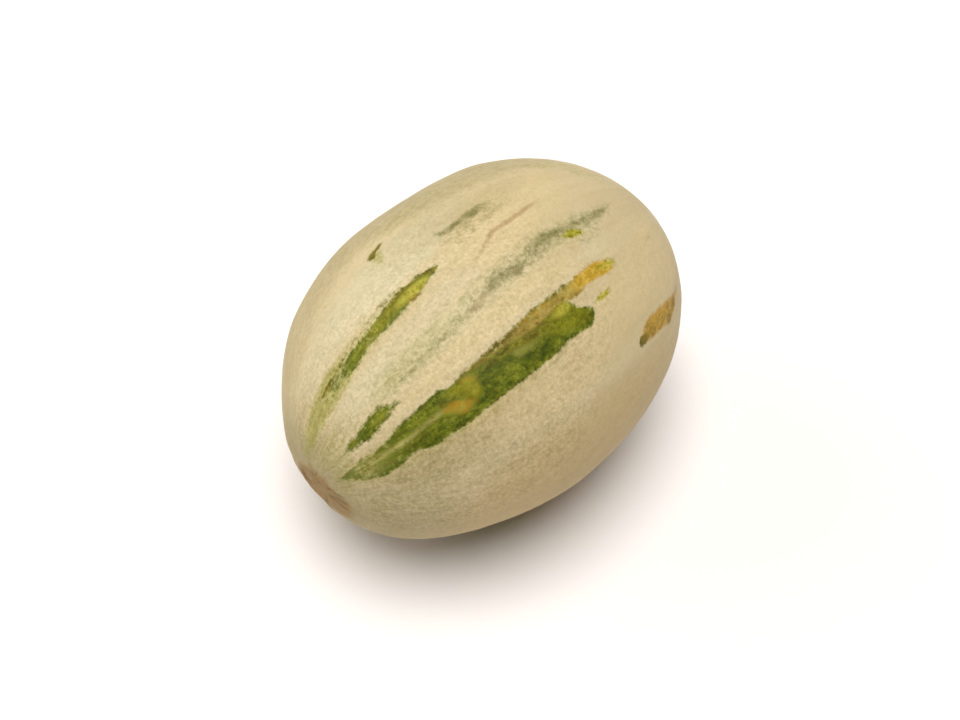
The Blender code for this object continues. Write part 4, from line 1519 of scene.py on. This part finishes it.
@dataclass(frozen=True)
class Photograph:
    """How the photograph was taken, so that the render has the same view of the fruit."""

    width_px: int = 960
    height_px: int = 720
    elevation: float = 58.0
    azimuth: float = -43.35
    lens_mm: float = 45.0
    sensor_mm: float = 36.0
    nearest: float = 0.01  # metres, where the camera starts and stops seeing
    farthest: float = 50.0
    metres_per_px: float = 0.3607 * MM
    middle_px: tuple[float, float] = (482.2, 345.0)
    middle_height: float = 59.4 * MM

    def camera(self) -> bpy.types.Object:
        """Makes the camera at the photograph's viewing angle.

        Returns:
            The camera, which is the scene's own.
        """
        around = math.radians(self.azimuth)
        back, right = way_to(self.azimuth, self.elevation), Vector((math.cos(around), math.sin(around), 0))
        up = back.cross(right)
        distance = self.width_px * self.lens_mm / self.sensor_mm * self.metres_per_px
        off_right = (self.middle_px[0] - self.width_px / 2) * self.metres_per_px
        off_down = (self.middle_px[1] - self.height_px / 2) * self.metres_per_px
        aim = Vector((0, 0, self.middle_height)) - right * off_right + up * off_down
        data = bpy.data.cameras.new("studio_camera")
        data.lens, data.sensor_width = self.lens_mm, self.sensor_mm
        data.clip_start, data.clip_end = self.nearest, self.farthest
        camera = set_out("studio_camera", data)
        camera.location = aim + back * distance
        camera.rotation_euler = back.to_track_quat("Z", "Y").to_euler()
        bpy.context.scene.camera = camera
        return camera


@dataclass(frozen=True)
class SoftLight:
    """A broad soft light, as even over the whole floor as the sky is."""

    name: str
    azimuth: float
    elevation: float
    strength: float
    breadth: float = 42.0  # degrees across, as the fruit sees it
    distance: float = 2.0  # metres, which changes nothing but where it is drawn

    def hang(self) -> bpy.types.Object:
        """Hangs the light at its place, turned to the fruit.

        Returns:
            The light.
        """
        way = way_to(self.azimuth, self.elevation)
        data = bpy.data.lights.new(self.name, "SUN")
        data.energy, data.angle = self.strength, math.radians(self.breadth)
        light = set_out(self.name, data)
        light.location = way * self.distance
        light.rotation_euler = way.to_track_quat("Z", "Y").to_euler()
        return light


@dataclass(frozen=True)
class Studio:
    """The plain pale floor, the plain soft light and the white room."""

    floor_size: float = 12.0
    floor_colour: Colour = (0.84, 0.80, 0.77)
    floor_roughness: float = 0.9
    room_colour: Colour = (1.0, 1.0, 1.0)
    horizon_glow: float = 0.375
    ceiling_glow: float = 0.045
    glow_heights: Span = (0.05, 0.45)  # where the glow starts to fall, and where it has fallen
    lights: tuple[SoftLight, ...] = (
        SoftLight("overhead_light", azimuth=0, elevation=90, strength=3.66),
        SoftLight("left_light", azimuth=210, elevation=28, strength=0.88),
    )

    def build(self) -> None:
        """Lays the floor, hangs the lights and sets the room."""
        self._floor()
        self._room()
        for light in self.lights:
            light.hang()
        bpy.context.scene.view_settings.view_transform = "Standard"

    def _floor(self) -> None:
        """Lays the plain pale floor."""
        half = self.floor_size / 2
        corners = [(-half, -half, 0), (half, -half, 0), (half, half, 0), (-half, half, 0)]
        mesh = bpy.data.meshes.new("studio_floor")
        mesh.from_pydata(corners, [], [(0, 1, 2, 3)])
        floor = set_out("studio_floor", mesh)
        material = bpy.data.materials.new("studio_floor")
        material.use_nodes = True
        sheet = Sheet(material.node_tree)
        shader = sheet.fed("ShaderNodeBsdfPrincipled", {
            "Base Color": self.floor_colour, "Roughness": self.floor_roughness, "Specular IOR Level": 0.0})
        sheet.fed("ShaderNodeOutputMaterial", {"Surface": shader.outputs["BSDF"]})
        mesh.materials.append(material)

    def _room(self) -> None:
        """Sets the room: plain white to look at, and a soft glow near the horizon as a light on the fruit."""
        world = bpy.data.worlds.new("studio_room")
        world.use_nodes = True
        sheet = Sheet(world.node_tree)
        way = sheet.node("ShaderNodeTexCoord").outputs["Generated"]
        height = sheet.fed("ShaderNodeSeparateXYZ", {"Vector": way}).outputs["Z"]
        glow = sheet.spread(height, self.glow_heights, (self.horizon_glow, self.ceiling_glow), smooth=True)
        seen = sheet.node("ShaderNodeLightPath").outputs["Is Camera Ray"]
        background = sheet.fed("ShaderNodeBackground", {
            "Color": self.room_colour, "Strength": sheet.maths("MAXIMUM", glow, seen)})
        sheet.fed("ShaderNodeOutputWorld", {"Surface": background.outputs["Background"]})
        bpy.context.scene.world = world


def main() -> None:
    """Builds the fruit and the studio round it, and reports each piece."""
    logging.basicConfig(level=logging.INFO, format="%(name)s: %(message)s")
    skin = Muskmelon().build()
    LOG.info("%s: %d points, %d faces", skin.name, len(skin.data.vertices), len(skin.data.polygons))
    studio = Studio()
    studio.build()
    camera = Photograph().camera()
    LOG.info("studio: floor, room, %d lights and %s", len(studio.lights), camera.name)


if __name__ == "__main__":
    main()
